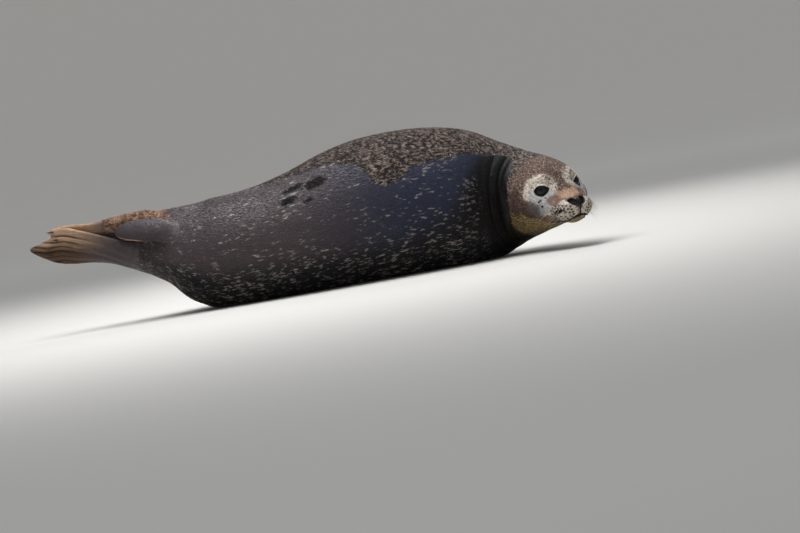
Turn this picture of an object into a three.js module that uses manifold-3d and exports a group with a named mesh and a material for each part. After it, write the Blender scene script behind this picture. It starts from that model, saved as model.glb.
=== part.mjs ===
// A harbor seal hauled out on a level floor: it lies rolled over towards its right flank with the
// back to the front (-Y), the hind flippers held up behind and pressed sole to sole, and the head
// turned back over the right shoulder. Millimetres, +Z up, +X towards the head.
//
// The animal is one lofted body, divided by thin cuts across its length, with the flippers, tail,
// claws and eyes as solids of their own that meet it with a small clearance.

import * as THREE from "three";
import { mergeVertices } from "three/addons/utils/BufferGeometryUtils.js";
import Module from "manifold-3d";

const wasm = await Module();
wasm.setup();

const DEGREE = Math.PI / 180;
const GAP = 0.3; // clearance between neighbouring solids
const FLOOR_ROLL = 7; // the flesh rolls up from the floor over this height

// ---- driving dimensions -------------------------------------------------------------------

// The head's own frame has its origin midway between the eyes, x forward, y left, z up.
const HEAD = {
  eyesMiddle: new THREE.Vector3(416.7, -178, 153),
  heading: -60.4 * DEGREE,
  pitch: -15.7 * DEGREE,
  roll: 4 * DEGREE,
};

// Cross-sections of the head, nose to nape: how far forward of the eyes, top, bottom, half width.
const HEAD_SECTIONS = [
  { forward: 93, top: -34, bottom: -34, width: 0 },
  { forward: 85, top: -13, bottom: -61, width: 29 },
  { forward: 68, top: -4, bottom: -75, width: 43 },
  { forward: 46, top: 4, bottom: -80, width: 53 },
  { forward: 22, top: 19, bottom: -88, width: 64 },
  { forward: -4, top: 40, bottom: -99, width: 79 },
  { forward: -34, top: 53, bottom: -114, width: 86 },
  { forward: -68, top: 58, bottom: -130, width: 90 },
  { forward: -104, top: 58, bottom: -148, width: 95 },
];

// Cross-sections from the neck to the rump: centre, the way each one faces (degrees), half
// height above and below the centre, and half width. The belly is let down below the floor here
// and is flattened on it afterwards.
const BODY_SECTIONS = [
  { x: 329, y: -44, z: 142, heading: -40, pitch: -9, above: 114, below: 118, width: 114 },
  { x: 281, y: -17, z: 147, heading: -22, pitch: -4, above: 140, below: 143, width: 138 },
  { x: 224, y: -4, z: 155, heading: -8, pitch: 0, above: 171, below: 164, width: 162 },
  { x: 158, y: 0, z: 158, heading: 0, pitch: 0, above: 187, below: 173, width: 177 },
  { x: 86, y: 0, z: 160, heading: 0, pitch: 0, above: 195, below: 176, width: 187 },
  { x: 10, y: 0, z: 160, heading: 0, pitch: 0, above: 197, below: 176, width: 190 },
  { x: -68, y: 0, z: 158, heading: 0, pitch: 0, above: 193, below: 174, width: 190 },
  { x: -148, y: 0, z: 150, heading: 0, pitch: 0, above: 183, below: 166, width: 186 },
  { x: -228, y: 0, z: 140, heading: 0, pitch: 0, above: 166, below: 156, width: 178 },
  { x: -308, y: 0, z: 132, heading: 0, pitch: 0, above: 153, below: 147, width: 167 },
  { x: -380, y: 0, z: 129, heading: 0, pitch: -2, above: 147, below: 141, width: 154 },
  { x: -444, y: 0, z: 130, heading: 0, pitch: -5, above: 143, below: 134, width: 140 },
  { x: -500, y: 0, z: 137, heading: 0, pitch: -10, above: 132, below: 113, width: 122 },
  { x: -546, y: 0, z: 150, heading: 0, pitch: -15, above: 120, below: 79, width: 100 },
  { x: -586, y: 0, z: 166, heading: 0, pitch: -18, above: 104, below: 66, width: 78 },
  { x: -618, y: 0, z: 178, heading: 0, pitch: -18, above: 82, below: 57, width: 56 },
  { x: -646, y: 0, z: 187, heading: 0, pitch: -18, above: 0, below: 0, width: 0 },
];

// Soft forms of the head, each for the left side and mirrored where it stands off the middle:
// where it is, how far it spreads, and which way and how far it swells.
const HEAD_FORMS = [
  { name: "whisker pad", at: [64, 27, -40], spread: [26, 20, 19], swell: [4, 9, -1] },
  { name: "nose", at: [90, 0, -24], spread: [14, 18, 12], swell: [4, 0, 3] },
  { name: "chin", at: [74, 0, -68], spread: [18, 22, 12], swell: [-4, 0, -3] },
  { name: "brow", at: [2, 36, 30], spread: [22, 16, 14], swell: [4, 4, 6] },
  { name: "eye socket", at: [7, 58, 3], spread: [15, 17, 14], swell: [-7, -12, -1] },
  { name: "cheek", at: [-18, 72, -46], spread: [36, 30, 30], swell: [2, 7, -2] },
  { name: "bridge side", at: [46, 34, -6], spread: [18, 13, 13], swell: [-1, -4, -2] },
];

// Skin folds round the neck, where it bends: place along the body on the outside of the bend, how
// far forward the fold comes on the inside, its depth there, and its spread along the body.
const NECK_FOLDS = [
  { along: 8.7, forward: 0.85, depth: 6, spread: 0.11 },
  { along: 9.05, forward: 0.57, depth: 8, spread: 0.12 },
  { along: 9.6, forward: 0.25, depth: 4, spread: 0.12 },
];
const BEND_SIDE = 190 * DEGREE; // the inside of the bend, as an angle round the neck
const BEND_SPREAD = 37 * DEGREE; // how far round the folds come forward
const FOLD_SPREAD = 75 * DEGREE; // how far round they are deep

// The pair of hind flippers: the line between them, and how the plane where the soles meet turns
// from lying down at the ankles to standing up at the tips (degrees of its normal from vertical).
// Each flipper's middle is apart from that plane, and a step higher or lower along it.
const HIND_PAIR = [
  { x: -540, y: 4, z: 178, turn: 35, width: 0, thickness: 0, apart: 26, step: 14 },
  { x: -590, y: 4, z: 186, turn: 35, width: 47, thickness: 35, apart: 33, step: 26 },
  { x: -640, y: 3, z: 199, turn: 36, width: 45, thickness: 28, apart: 29, step: 24 },
  { x: -692, y: 2, z: 209, turn: 40, width: 44, thickness: 20, apart: 21, step: 16 },
  { x: -742, y: 0, z: 214, turn: 52, width: 45, thickness: 13, apart: 13, step: 8 },
  { x: -785, y: -2, z: 218, turn: 66, width: 47, thickness: 10, apart: 10, step: 3 },
  { x: -812, y: -4, z: 221, turn: 75, width: 47, thickness: 8, apart: 8, step: 0 },
  { x: -830, y: -5, z: 222, turn: 78, width: 40, thickness: 6, apart: 7, step: 0 },
  { x: -838, y: -5, z: 223, turn: 78, width: 0, thickness: 0, apart: 7, step: 0 },
];

// The groups of digits that run past the web of a hind flipper: where across it (v), how far, and
// how wide the group is before and after its middle. The far flipper's are shorter.
const HIND_LOBES = [
  { middle: -0.85, length: 34, before: 0.2, after: 0.2 },
  { middle: 0.15, length: 62, before: 0.5, after: 0.62 },
];
const FAR_FLIPPER_SHARE = 0.7;

// The tail is a flat tongue over the line where the hind flippers meet.
const TAIL_LINE = [
  { x: -515, y: -58, z: 205, normal: [0.25, -0.88, 0.4], width: 0, thickness: 0 },
  { x: -560, y: -74, z: 216, normal: [0.1, -0.88, 0.44], width: 30, thickness: 17 },
  { x: -600, y: -72, z: 224, normal: [-0.12, -0.87, 0.46], width: 31, thickness: 13 },
  { x: -640, y: -58, z: 229, normal: [-0.2, -0.87, 0.46], width: 27, thickness: 10 },
  { x: -668, y: -48, z: 231, normal: [-0.2, -0.87, 0.46], width: 18, thickness: 8 },
  { x: -682, y: -44, z: 232, normal: [-0.2, -0.87, 0.46], width: 0, thickness: 0 },
];

// The left foreflipper lies back along the far flank. It follows the body's surface: the place
// along the body, the angle round it in degrees, and how far its middle stands off.
const LEFT_FLIPPER_LINE = [
  { t: 11.2, angle: 22, off: -16, width: 0, thickness: 0 },
  { t: 11.55, angle: 16, off: -4, width: 31, thickness: 17 },
  { t: 12.1, angle: 8, off: 8, width: 34, thickness: 13 },
  { t: 12.65, angle: 0, off: 12, width: 38, thickness: 10 },
  { t: 13.2, angle: -8, off: 12, width: 37, thickness: 7 },
  { t: 13.5, angle: -12, off: 12, width: 0, thickness: 0 },
];

// The right foreflipper comes out from under the chest and lies on the floor on the far side.
const RIGHT_FLIPPER_LINE = [
  { x: 196, y: 62, z: 44, width: 0, thickness: 0 },
  { x: 188, y: 98, z: 34, width: 32, thickness: 18 },
  { x: 176, y: 138, z: 20, width: 35, thickness: 15 },
  { x: 160, y: 180, z: 11, width: 38, thickness: 10 },
  { x: 140, y: 218, z: 7, width: 37, thickness: 8 },
  { x: 130, y: 234, z: 6, width: 0, thickness: 0 },
];

// A foreflipper is longest at its leading edge: how far it runs past its last station there, and
// how far short of it the whole edge is held.
const FORE_REACH = 16;
const FORE_SHORT = 4;

// Where along a limb the digits begin to stand up, where they stand up fully, and where they
// begin to run past the web.
const RIDGE_FROM = 0.2;
const RIDGE_FULL = 0.8;
const REACH_FROM = 0.5;

// How far the digits stand up, as a part of the thickness, and half the breadth of the web.
const HIND_WEB = { ridge: 0.3, breadth: 48 };
const FORE_WEB = { ridge: 0.28, breadth: 38 };
const TAIL_WEB = { ridge: 0, breadth: 33 };

// Claws: length, root radius, how far the tip bends down, place along the limb (0 to 1), and the
// part of the length that is sunk in the digit.
const FORE_CLAW = { length: 30, radius: 4.5, bend: 7, at: 0.86, sink: 0.25 };
const HIND_CLAW = { length: 14, radius: 2.6, bend: 3, at: 0.82, sink: 0.3 };
const OUTER_CLAW = 0.88; // how far out on the flipper the outermost claws are

// The eyes: the middle of each opening in the head's frame, how far behind it the ball's centre
// lies, and which way it looks.
const EYE = { radius: 20, opening: [3, 50, 3], depth: 13, outward: 35 * DEGREE, upward: 12 * DEGREE };

// Where the body is divided, counted in cross-sections from the nose.
const DIVISIONS = [
  { name: "head", to: 7.5, rings: 21 },
  { name: "neck", to: 10.4, rings: 22 },
  { name: "chest", to: 12.6, rings: 7 },
  { name: "trunk_middle", to: 16, rings: 8 },
  { name: "abdomen", to: 19.4, rings: 8 },
  { name: "rump", to: 25, rings: 13 },
];
const CUT = 0.007; // width of a cut, as a part of the way to the next cross-section
const BODY_SIDES = 34;
const SAME_POINT = 1e-4; // corners nearer than this are one corner
const FACETS = { hind: [18, 13], fore: [16, 10], tail: [12, 9], eye: [14, 8], claw: [6, 3] };
const DIGITS = 5;

const SURFACES = {
  coat: { color: 0x34323a, roughness: 0.7 },
  head: { color: 0x5a4c42, roughness: 0.7 },
  rear: { color: 0x4b3d38, roughness: 0.7 },
  flipper: { color: 0x7a5a40, roughness: 0.7 },
  eye: { color: 0x0a0908, roughness: 0.08 },
  claw: { color: 0x1d1815, roughness: 0.4 },
};

// ---- small helpers ------------------------------------------------------------------------

const clamp = THREE.MathUtils.clamp;
const smooth = THREE.MathUtils.smoothstep;

// A smooth curve through evenly numbered values (Catmull-Rom).
function through(values, t) {
  const last = values.length - 1;
  const i = clamp(Math.floor(t), 0, last - 1);
  const f = t - i;
  const [a, b, c, d] = [i - 1, i, i + 1, i + 2].map((k) => values[clamp(k, 0, last)]);
  return b + 0.5 * f * (c - a + f * (2 * a - 5 * b + 4 * c - d + f * (3 * (b - c) + d - a)));
}

// Sizes are carried as squares, which rounds off an end that closes to nothing.
function sizeThrough(values, t) {
  return Math.sqrt(Math.max(0, through(values.map((v) => v * v), t)));
}

// Flattens what would sink into the floor.
function settle(point) {
  if (point.z < -FLOOR_ROLL) {
    point.z = 0;
  } else if (point.z < FLOOR_ROLL) {
    point.z = (point.z + FLOOR_ROLL) ** 2 / (4 * FLOOR_ROLL);
  }
  return point;
}

// Forward, left and up of something that faces along a heading, pitched up and rolled.
function facing(heading, pitch, roll) {
  const forward = new THREE.Vector3(
    Math.cos(pitch) * Math.cos(heading),
    Math.cos(pitch) * Math.sin(heading),
    Math.sin(pitch),
  );
  const level = new THREE.Vector3(-Math.sin(heading), Math.cos(heading), 0);
  const left = level.applyAxisAngle(forward, roll);
  return { forward, left, up: new THREE.Vector3().crossVectors(forward, left) };
}

// Bends a closed three.js cylinder or sphere along a form: pointAt(t, angle, rim) gives a point
// of its surface, t running from start to end and rim being 0 at the middle of a flat end.
function shaped(shell, start, end, pointAt) {
  shell.deleteAttribute("normal");
  shell.deleteAttribute("uv");
  const position = shell.attributes.position;
  const vertex = new THREE.Vector3();
  for (let i = 0; i < position.count; i += 1) {
    vertex.fromBufferAttribute(position, i);
    const rim = Math.hypot(vertex.x, vertex.z) > 1e-6 ? 1 : 0;
    const t = start + (end - start) * shellFraction(shell, vertex);
    const point = pointAt(t, Math.atan2(vertex.x, vertex.z), rim);
    position.setXYZ(i, point.x, point.y, point.z);
  }
  shell.clearGroups();
  return mergeVertices(shell, SAME_POINT);
}

// How far down the shell a vertex is, from 0 at its top to 1.
function shellFraction(shell, vertex) {
  if (shell.type === "SphereGeometry") {
    return 0.5 - vertex.y / 2;
  }
  return 0.5 - vertex.y;
}

function solidOf(geometry) {
  return new wasm.Manifold(
    new wasm.Mesh({
      numProp: 3,
      vertProperties: new Float32Array(geometry.attributes.position.array),
      triVerts: new Uint32Array(geometry.index.array),
    }),
  );
}

function geometryOf(solid) {
  const mesh = solid.getMesh();
  const geometry = new THREE.BufferGeometry();
  geometry.setAttribute("position", new THREE.BufferAttribute(mesh.vertProperties, 3));
  geometry.setIndex(new THREE.BufferAttribute(mesh.triVerts, 1));
  return geometry;
}

// ---- the body -----------------------------------------------------------------------------

const headFrame = facing(HEAD.heading, HEAD.pitch, HEAD.roll);

function fromHead(x, y, z) {
  return HEAD.eyesMiddle
    .clone()
    .addScaledVector(headFrame.forward, x)
    .addScaledVector(headFrame.left, y)
    .addScaledVector(headFrame.up, z);
}

function toHead(point) {
  const offset = point.clone().sub(HEAD.eyesMiddle);
  return new THREE.Vector3(
    offset.dot(headFrame.forward),
    offset.dot(headFrame.left),
    offset.dot(headFrame.up),
  );
}

// Every cross-section from the nose to the rump, in one list of the same quantities.
function allSections() {
  const ofHead = HEAD_SECTIONS.map((section) => {
    const centre = fromHead(section.forward, 0, (section.top + section.bottom) / 2);
    const half = (section.top - section.bottom) / 2;
    return {
      x: centre.x,
      y: centre.y,
      z: centre.z,
      heading: HEAD.heading,
      pitch: HEAD.pitch,
      roll: HEAD.roll,
      above: half,
      below: half,
      width: section.width,
    };
  });
  const ofBody = BODY_SECTIONS.map((section) => ({
    ...section,
    heading: section.heading * DEGREE,
    pitch: section.pitch * DEGREE,
    roll: 0,
  }));
  return [...ofHead, ...ofBody];
}

const sections = allSections();
const column = (name) => sections.map((section) => section[name]);
const COLUMNS = Object.fromEntries(Object.keys(sections[0]).map((name) => [name, column(name)]));

// The outward swelling of the head's soft forms at a point of the head's frame.
function headSwelling(p) {
  const total = new THREE.Vector3();
  for (const form of HEAD_FORMS) {
    const sides = form.at[1] === 0 ? [1] : [1, -1];
    for (const side of sides) {
      const dx = (p.x - form.at[0]) / form.spread[0];
      const dy = (p.y - side * form.at[1]) / form.spread[1];
      const dz = (p.z - form.at[2]) / form.spread[2];
      const strength = Math.exp(-(dx * dx + dy * dy + dz * dz));
      total.x += strength * form.swell[0];
      total.y += strength * form.swell[1] * side;
      total.z += strength * form.swell[2];
    }
  }
  return total;
}

// How deep the neck's folds cut here. They are deepest on the inside of the bend.
function foldDepth(t, angle) {
  const turn = Math.PI - Math.abs(Math.PI - Math.abs((angle - BEND_SIDE) % (2 * Math.PI)));
  const nearness = Math.exp(-((turn / BEND_SPREAD) ** 2));
  const strength = Math.exp(-((turn / FOLD_SPREAD) ** 2));
  let depth = 0;
  for (const fold of NECK_FOLDS) {
    const distance = (t - fold.along + fold.forward * nearness) / fold.spread;
    depth += fold.depth * strength * Math.exp(-distance * distance);
  }
  return depth;
}

// A point of the body: t counts cross-sections from the nose, angle runs from the left side
// over the top, and extra grows the body all round.
function bodyPoint(t, angle, rim = 1, extra = 0) {
  const { left, up } = facing(
    through(COLUMNS.heading, t),
    through(COLUMNS.pitch, t),
    through(COLUMNS.roll, t),
  );
  const trim = extra - foldDepth(t, angle);
  const sine = Math.sin(angle);
  const height = sizeThrough(sine > 0 ? COLUMNS.above : COLUMNS.below, t) + trim;
  const width = sizeThrough(COLUMNS.width, t) + trim;
  const point = new THREE.Vector3(through(COLUMNS.x, t), through(COLUMNS.y, t), through(COLUMNS.z, t))
    .addScaledVector(left, rim * width * Math.cos(angle))
    .addScaledVector(up, rim * height * sine);
  if (t < HEAD_SECTIONS.length) {
    const swelling = headSwelling(toHead(point));
    point
      .addScaledVector(headFrame.forward, swelling.x)
      .addScaledVector(headFrame.left, swelling.y)
      .addScaledVector(headFrame.up, swelling.z);
  }
  return settle(point);
}

const LAST = sections.length - 1;

// The stretch of the body between two places, flat where it is cut.
function bodyPiece(start, end, rings, extra = 0) {
  const nose = start === 0 ? 0 : 1;
  const rear = end === LAST ? 0 : 1;
  const shell = new THREE.CylinderGeometry(nose, rear, 1, BODY_SIDES, rings);
  const point = (t, angle, rim) => bodyPoint(t, angle, rim, extra);
  return solidOf(shaped(shell, start, end, point));
}

// ---- limbs --------------------------------------------------------------------------------

// A limb is a flattened loft along its stations. Each station has its centre, the direction its
// upper face looks (normal), half width and half thickness. The digits stand up as ridges on both
// faces and run past the web by their own reach, which depends on v, the place across the limb
// from -1 to 1 of its breadth. The claws are on the side of the normal that face names.
function limbPoint(limb, t, angle, rim = 1, extra = 0) {
  const centre = limbCentre(limb, t);
  const { along, normal, across } = limbFrame(limb, t);
  const offset = limbSize(limb, "width", t) * Math.cos(angle);
  const v = offset / limb.breadth;
  const toTip = t / (limb.stations.length - 1);
  const standing = limb.ridge * smooth(toTip, RIDGE_FROM, RIDGE_FULL);
  const digits = 1 + standing * Math.cos(Math.PI * (v + 1) * (DIGITS - 1));
  const thickness = limbSize(limb, "thickness", t) * digits + extra;
  const reach = smooth(toTip, REACH_FROM, 1) ** 2 * limb.reach(v);
  return centre
    .addScaledVector(across, rim * (offset + extra * Math.cos(angle)))
    .addScaledVector(normal, rim * thickness * Math.sin(angle))
    .addScaledVector(along, reach);
}

function limbCentre(limb, t) {
  const at = (axis) => through(limb.stations.map((station) => station.centre[axis]), t);
  return new THREE.Vector3(at("x"), at("y"), at("z"));
}

function limbSize(limb, name, t) {
  return sizeThrough(limb.stations.map((station) => station[name]), t);
}

function limbFrame(limb, t) {
  const step = 0.05;
  const along = limbCentre(limb, t + step).sub(limbCentre(limb, t - step)).normalize();
  const at = (axis) => through(limb.stations.map((station) => station.normal[axis]), t);
  const normal = new THREE.Vector3(at("x"), at("y"), at("z"));
  normal.addScaledVector(along, -normal.dot(along)).normalize();
  return { along, normal, across: new THREE.Vector3().crossVectors(along, normal) };
}

function limbSolid(limb, extra = 0) {
  const shell = new THREE.SphereGeometry(1, ...limb.facets);
  const end = limb.stations.length - 1;
  const point = (t, angle, rim) => settle(limbPoint(limb, t, angle, rim, extra));
  return solidOf(shaped(shell, 0, end, point));
}

function hindReach(v) {
  let reach = 0;
  for (const { middle, length, before, after } of HIND_LOBES) {
    const spread = v > middle ? after : before;
    reach += length * Math.exp(-(((v - middle) / spread) ** 2));
  }
  return reach;
}

// One hind flipper: side is -1 for the near, right one and 1 for the far, left one.
function hindFlipper(side) {
  const stations = HIND_PAIR.map((pair) => {
    const normal = new THREE.Vector3(0, Math.sin(pair.turn * DEGREE), Math.cos(pair.turn * DEGREE));
    const upward = new THREE.Vector3(0, -normal.z, normal.y);
    const centre = new THREE.Vector3(pair.x, pair.y, pair.z)
      .addScaledVector(normal, side * pair.apart)
      .addScaledVector(upward, side * pair.step);
    return { centre, normal, width: pair.width, thickness: pair.thickness };
  });
  const share = side > 0 ? FAR_FLIPPER_SHARE : 1;
  const reach = (v) => share * hindReach(v);
  return { stations, ...HIND_WEB, reach, face: side, facets: FACETS.hind };
}

function tailTongue() {
  const stations = TAIL_LINE.map(({ x, y, z, normal, width, thickness }) => ({
    centre: new THREE.Vector3(x, y, z),
    normal: new THREE.Vector3(...normal),
    width,
    thickness,
  }));
  return { stations, ...TAIL_WEB, reach: () => 0, face: 1, facets: FACETS.tail };
}

function foreReach(v) {
  return FORE_REACH * v - FORE_SHORT;
}

function leftForeflipper() {
  const stations = LEFT_FLIPPER_LINE.map((place) => {
    const angle = place.angle * DEGREE;
    const skin = bodyPoint(place.t, angle);
    const axis = bodyPoint(place.t, angle, 0);
    const normal = skin.clone().sub(axis).normalize();
    const centre = skin.addScaledVector(normal, place.off);
    return { centre, normal, width: place.width, thickness: place.thickness };
  });
  return { stations, ...FORE_WEB, reach: foreReach, face: 1, facets: FACETS.fore };
}

function rightForeflipper() {
  const stations = RIGHT_FLIPPER_LINE.map(({ x, y, z, width, thickness }) => ({
    centre: new THREE.Vector3(x, y, z),
    normal: new THREE.Vector3(0, 0, 1),
    width,
    thickness,
  }));
  return { stations, ...FORE_WEB, reach: foreReach, face: 1, facets: FACETS.fore };
}

// ---- claws --------------------------------------------------------------------------------

// A tapering claw on one digit, lying along the flipper with its tip bent down.
function clawSolid(limb, claw, digit) {
  const v = ((2 * digit) / (DIGITS - 1) - 1) * OUTER_CLAW;
  const t = claw.at * (limb.stations.length - 1);
  const face = limb.face;
  const root = limbPoint(limb, t, face * Math.acos(v));
  const { along, normal, across } = limbFrame(limb, t);
  const shell = new THREE.CylinderGeometry(0, 1, 1, ...FACETS.claw);
  const point = (fraction, angle, rim) => {
    const radius = rim * claw.radius * Math.sqrt(fraction);
    const forward = claw.length * (1 - fraction - claw.sink);
    const droop = claw.bend * (1 - fraction) ** 2 - claw.radius * 0.3;
    return settle(
      root
        .clone()
        .addScaledVector(along, forward)
        .addScaledVector(across, -face * radius * Math.cos(angle))
        .addScaledVector(normal, face * (radius * Math.sin(angle) - droop)),
    );
  };
  return solidOf(shaped(shell, 0, 1, point));
}

// ---- eyes ---------------------------------------------------------------------------------

function eyeCentre(side) {
  const [x, y, z] = EYE.opening;
  const lateral = Math.cos(EYE.upward) * Math.sin(EYE.outward);
  const ahead = Math.cos(EYE.upward) * Math.cos(EYE.outward);
  return fromHead(
    x - EYE.depth * ahead,
    side * (y - EYE.depth * lateral),
    z - EYE.depth * Math.sin(EYE.upward),
  );
}

function eyeball(side, extra = 0) {
  const ball = new THREE.SphereGeometry(EYE.radius + extra, ...FACETS.eye);
  ball.deleteAttribute("normal");
  ball.deleteAttribute("uv");
  return solidOf(mergeVertices(ball.translate(...eyeCentre(side).toArray()), SAME_POINT));
}

// ---- assembly -----------------------------------------------------------------------------

const seal = new THREE.Group();

function add(name, solid, { color, roughness }) {
  const material = new THREE.MeshStandardMaterial({ color, roughness, metalness: 0 });
  const mesh = new THREE.Mesh(geometryOf(solid), material);
  mesh.name = name;
  seal.add(mesh);
}

// A flipper, cut clear of what it grows from, and the claws on its digits.
function addFlipper(name, limb, surroundings, claw, surface) {
  const flesh = limbSolid(limb);
  add(name, flesh.subtract(surroundings), surface);
  const clearance = limbSolid(limb, GAP).add(flesh).add(surroundings);
  for (let digit = 0; digit < DIGITS; digit += 1) {
    const clawName = name.replace("flipper", "claw");
    const solid = clawSolid(limb, claw, digit).subtract(clearance);
    add(`${clawName}_${digit + 1}`, solid, SURFACES.claw);
  }
}

const sockets = eyeball(1, GAP).add(eyeball(-1, GAP));
const grownPieces = [];
let start = 0;
for (const { name, to, rings } of DIVISIONS) {
  const end = to === LAST ? to : to - CUT;
  const solid = bodyPiece(start, end, rings);
  const isHead = name === "head";
  add(name, isHead ? solid.subtract(sockets) : solid, isHead ? SURFACES.head : SURFACES.coat);
  grownPieces.push(bodyPiece(start, to, rings, GAP));
  start = to;
}
const bodyWithClearance = wasm.Manifold.union(grownPieces);

add("eye_left", eyeball(1), SURFACES.eye);
add("eye_right", eyeball(-1), SURFACES.eye);

const tail = tailTongue();
add("tail", limbSolid(tail).subtract(bodyWithClearance), SURFACES.rear);

const near = hindFlipper(-1);
const aroundNear = bodyWithClearance.add(limbSolid(tail, GAP));
const aroundFar = aroundNear.add(limbSolid(near, GAP));
addFlipper("hind_flipper_right", near, aroundNear, HIND_CLAW, SURFACES.flipper);
addFlipper("hind_flipper_left", hindFlipper(1), aroundFar, HIND_CLAW, SURFACES.flipper);
addFlipper("foreflipper_right", rightForeflipper(), bodyWithClearance, FORE_CLAW, SURFACES.rear);
addFlipper("foreflipper_left", leftForeflipper(), bodyWithClearance, FORE_CLAW, SURFACES.rear);

// The origin is on the floor, under the middle of the whole animal.
const extent = new THREE.Box3().setFromObject(seal);
const middle = extent.getCenter(new THREE.Vector3());
seal.position.set(-middle.x, -middle.y, -extent.min.z);

export default seal;
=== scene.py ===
"""A harbor seal lying on a pale floor, rolled towards its right flank, with its head turned back.

One skin stands for all the flesh, a short coat of mesh tufts lies over it, and the eyes, claws and
whiskers are pieces of their own. Everything is in metres, +Z up. The forms are worked out in the
seal's own coordinates and moved from there to where the frame has the left eye.
"""

import math

import bmesh
import bpy
import numpy as np
from mathutils import Matrix, Vector
from mathutils.kdtree import KDTree


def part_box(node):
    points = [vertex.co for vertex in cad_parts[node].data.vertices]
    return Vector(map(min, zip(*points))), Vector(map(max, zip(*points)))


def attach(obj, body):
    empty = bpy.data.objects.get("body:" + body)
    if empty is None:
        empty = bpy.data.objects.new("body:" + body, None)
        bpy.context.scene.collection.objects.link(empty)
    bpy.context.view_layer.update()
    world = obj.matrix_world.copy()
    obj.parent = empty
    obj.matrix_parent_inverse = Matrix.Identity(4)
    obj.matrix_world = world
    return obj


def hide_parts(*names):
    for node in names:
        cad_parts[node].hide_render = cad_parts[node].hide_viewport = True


# ---- the seal's form -------------------------------------------------------------------------

FLOOR_ROLL = 0.007  # the flesh rolls up from the floor over this height

# The head's own frame has its origin midway between the eyes: x forward, y left, z up.
EYES_MIDDLE = np.array([0.4167, -0.178, 0.153])
HEAD_HEADING, HEAD_PITCH, HEAD_ROLL = np.radians([-60.4, -15.7, 4.0])

# Cross-sections of the head from nose to nape: forward of the eyes, top, bottom, half width.
HEAD_SECTIONS = [
    (0.093, -0.034, -0.034, 0.0),
    (0.085, -0.013, -0.061, 0.029),
    (0.068, -0.004, -0.075, 0.043),
    (0.046, 0.004, -0.080, 0.053),
    (0.022, 0.019, -0.088, 0.064),
    (-0.004, 0.040, -0.099, 0.079),
    (-0.034, 0.053, -0.114, 0.086),
    (-0.068, 0.058, -0.130, 0.090),
    (-0.104, 0.058, -0.148, 0.095),
]

# Cross-sections from neck to rump: x, y, z, heading and pitch (degrees), half height above and
# below the centre, half width.
BODY_SECTIONS = [
    (0.329, -0.044, 0.142, -40, -9, 0.114, 0.118, 0.114),
    (0.281, -0.017, 0.147, -22, -4, 0.140, 0.143, 0.138),
    (0.224, -0.004, 0.155, -8, 0, 0.171, 0.164, 0.162),
    (0.158, 0.0, 0.158, 0, 0, 0.187, 0.173, 0.177),
    (0.086, 0.0, 0.160, 0, 0, 0.195, 0.176, 0.187),
    (0.010, 0.0, 0.160, 0, 0, 0.197, 0.176, 0.190),
    (-0.068, 0.0, 0.158, 0, 0, 0.193, 0.174, 0.190),
    (-0.148, 0.0, 0.150, 0, 0, 0.183, 0.166, 0.186),
    (-0.228, 0.0, 0.140, 0, 0, 0.166, 0.156, 0.178),
    (-0.308, 0.0, 0.132, 0, 0, 0.153, 0.147, 0.167),
    (-0.380, 0.0, 0.129, 0, -2, 0.147, 0.141, 0.154),
    (-0.444, 0.0, 0.130, 0, -5, 0.143, 0.134, 0.140),
    (-0.500, 0.0, 0.137, 0, -10, 0.132, 0.113, 0.122),
    (-0.546, 0.0, 0.150, 0, -15, 0.120, 0.079, 0.100),
    (-0.586, 0.0, 0.166, 0, -18, 0.104, 0.066, 0.078),
    (-0.618, 0.0, 0.178, 0, -18, 0.082, 0.057, 0.056),
    (-0.646, 0.0, 0.187, 0, -18, 0.0, 0.0, 0.0),
]

# Soft forms of the head, mirrored where they stand off the middle: where, spread, swelling.
HEAD_FORMS = {
    "whisker pad": ((0.064, 0.027, -0.040), (0.026, 0.020, 0.019), (0.004, 0.009, -0.001)),
    "nose": ((0.090, 0.0, -0.024), (0.014, 0.018, 0.012), (0.004, 0.0, 0.003)),
    "chin": ((0.074, 0.0, -0.068), (0.018, 0.022, 0.012), (-0.004, 0.0, -0.003)),
    "brow": ((0.002, 0.036, 0.030), (0.022, 0.016, 0.014), (0.004, 0.004, 0.006)),
    "eye socket": ((0.007, 0.058, 0.003), (0.015, 0.017, 0.014), (-0.007, -0.012, -0.001)),
    "cheek": ((-0.018, 0.072, -0.046), (0.036, 0.030, 0.030), (0.002, 0.007, -0.002)),
    "bridge side": ((0.046, 0.034, -0.006), (0.018, 0.013, 0.013), (-0.001, -0.004, -0.002)),
}

# Skin folds round the neck: place on the outside of the bend, how far forward they come on the
# inside, depth and spread.
NECK_FOLDS = [
    (8.7, 0.85, 0.006, 0.085),
    (9.05, 0.57, 0.008, 0.10),
    (9.6, 0.25, 0.004, 0.10),
]
BEND_SIDE, BEND_SPREAD, FOLD_SPREAD = np.radians([190, 37, 75])

# Flippers and tail are flat lofts. A station's sizes are its half width and half thickness.
# Hind pair: x, y, z, turn of the plane between them (degrees), width, thickness, apart, step.
HIND_PAIR = [
    (-0.540, 0.004, 0.178, 35, 0.0, 0.0, 0.026, 0.014),
    (-0.590, 0.004, 0.186, 35, 0.047, 0.035, 0.033, 0.026),
    (-0.640, 0.003, 0.199, 36, 0.045, 0.028, 0.029, 0.024),
    (-0.692, 0.002, 0.209, 40, 0.044, 0.020, 0.021, 0.016),
    (-0.742, 0.0, 0.214, 52, 0.045, 0.013, 0.013, 0.008),
    (-0.785, -0.002, 0.218, 66, 0.047, 0.010, 0.010, 0.003),
    (-0.812, -0.004, 0.221, 75, 0.047, 0.008, 0.008, 0.0),
    (-0.830, -0.005, 0.222, 78, 0.040, 0.006, 0.007, 0.0),
    (-0.838, -0.005, 0.223, 78, 0.0, 0.0, 0.007, 0.0),
]
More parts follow.
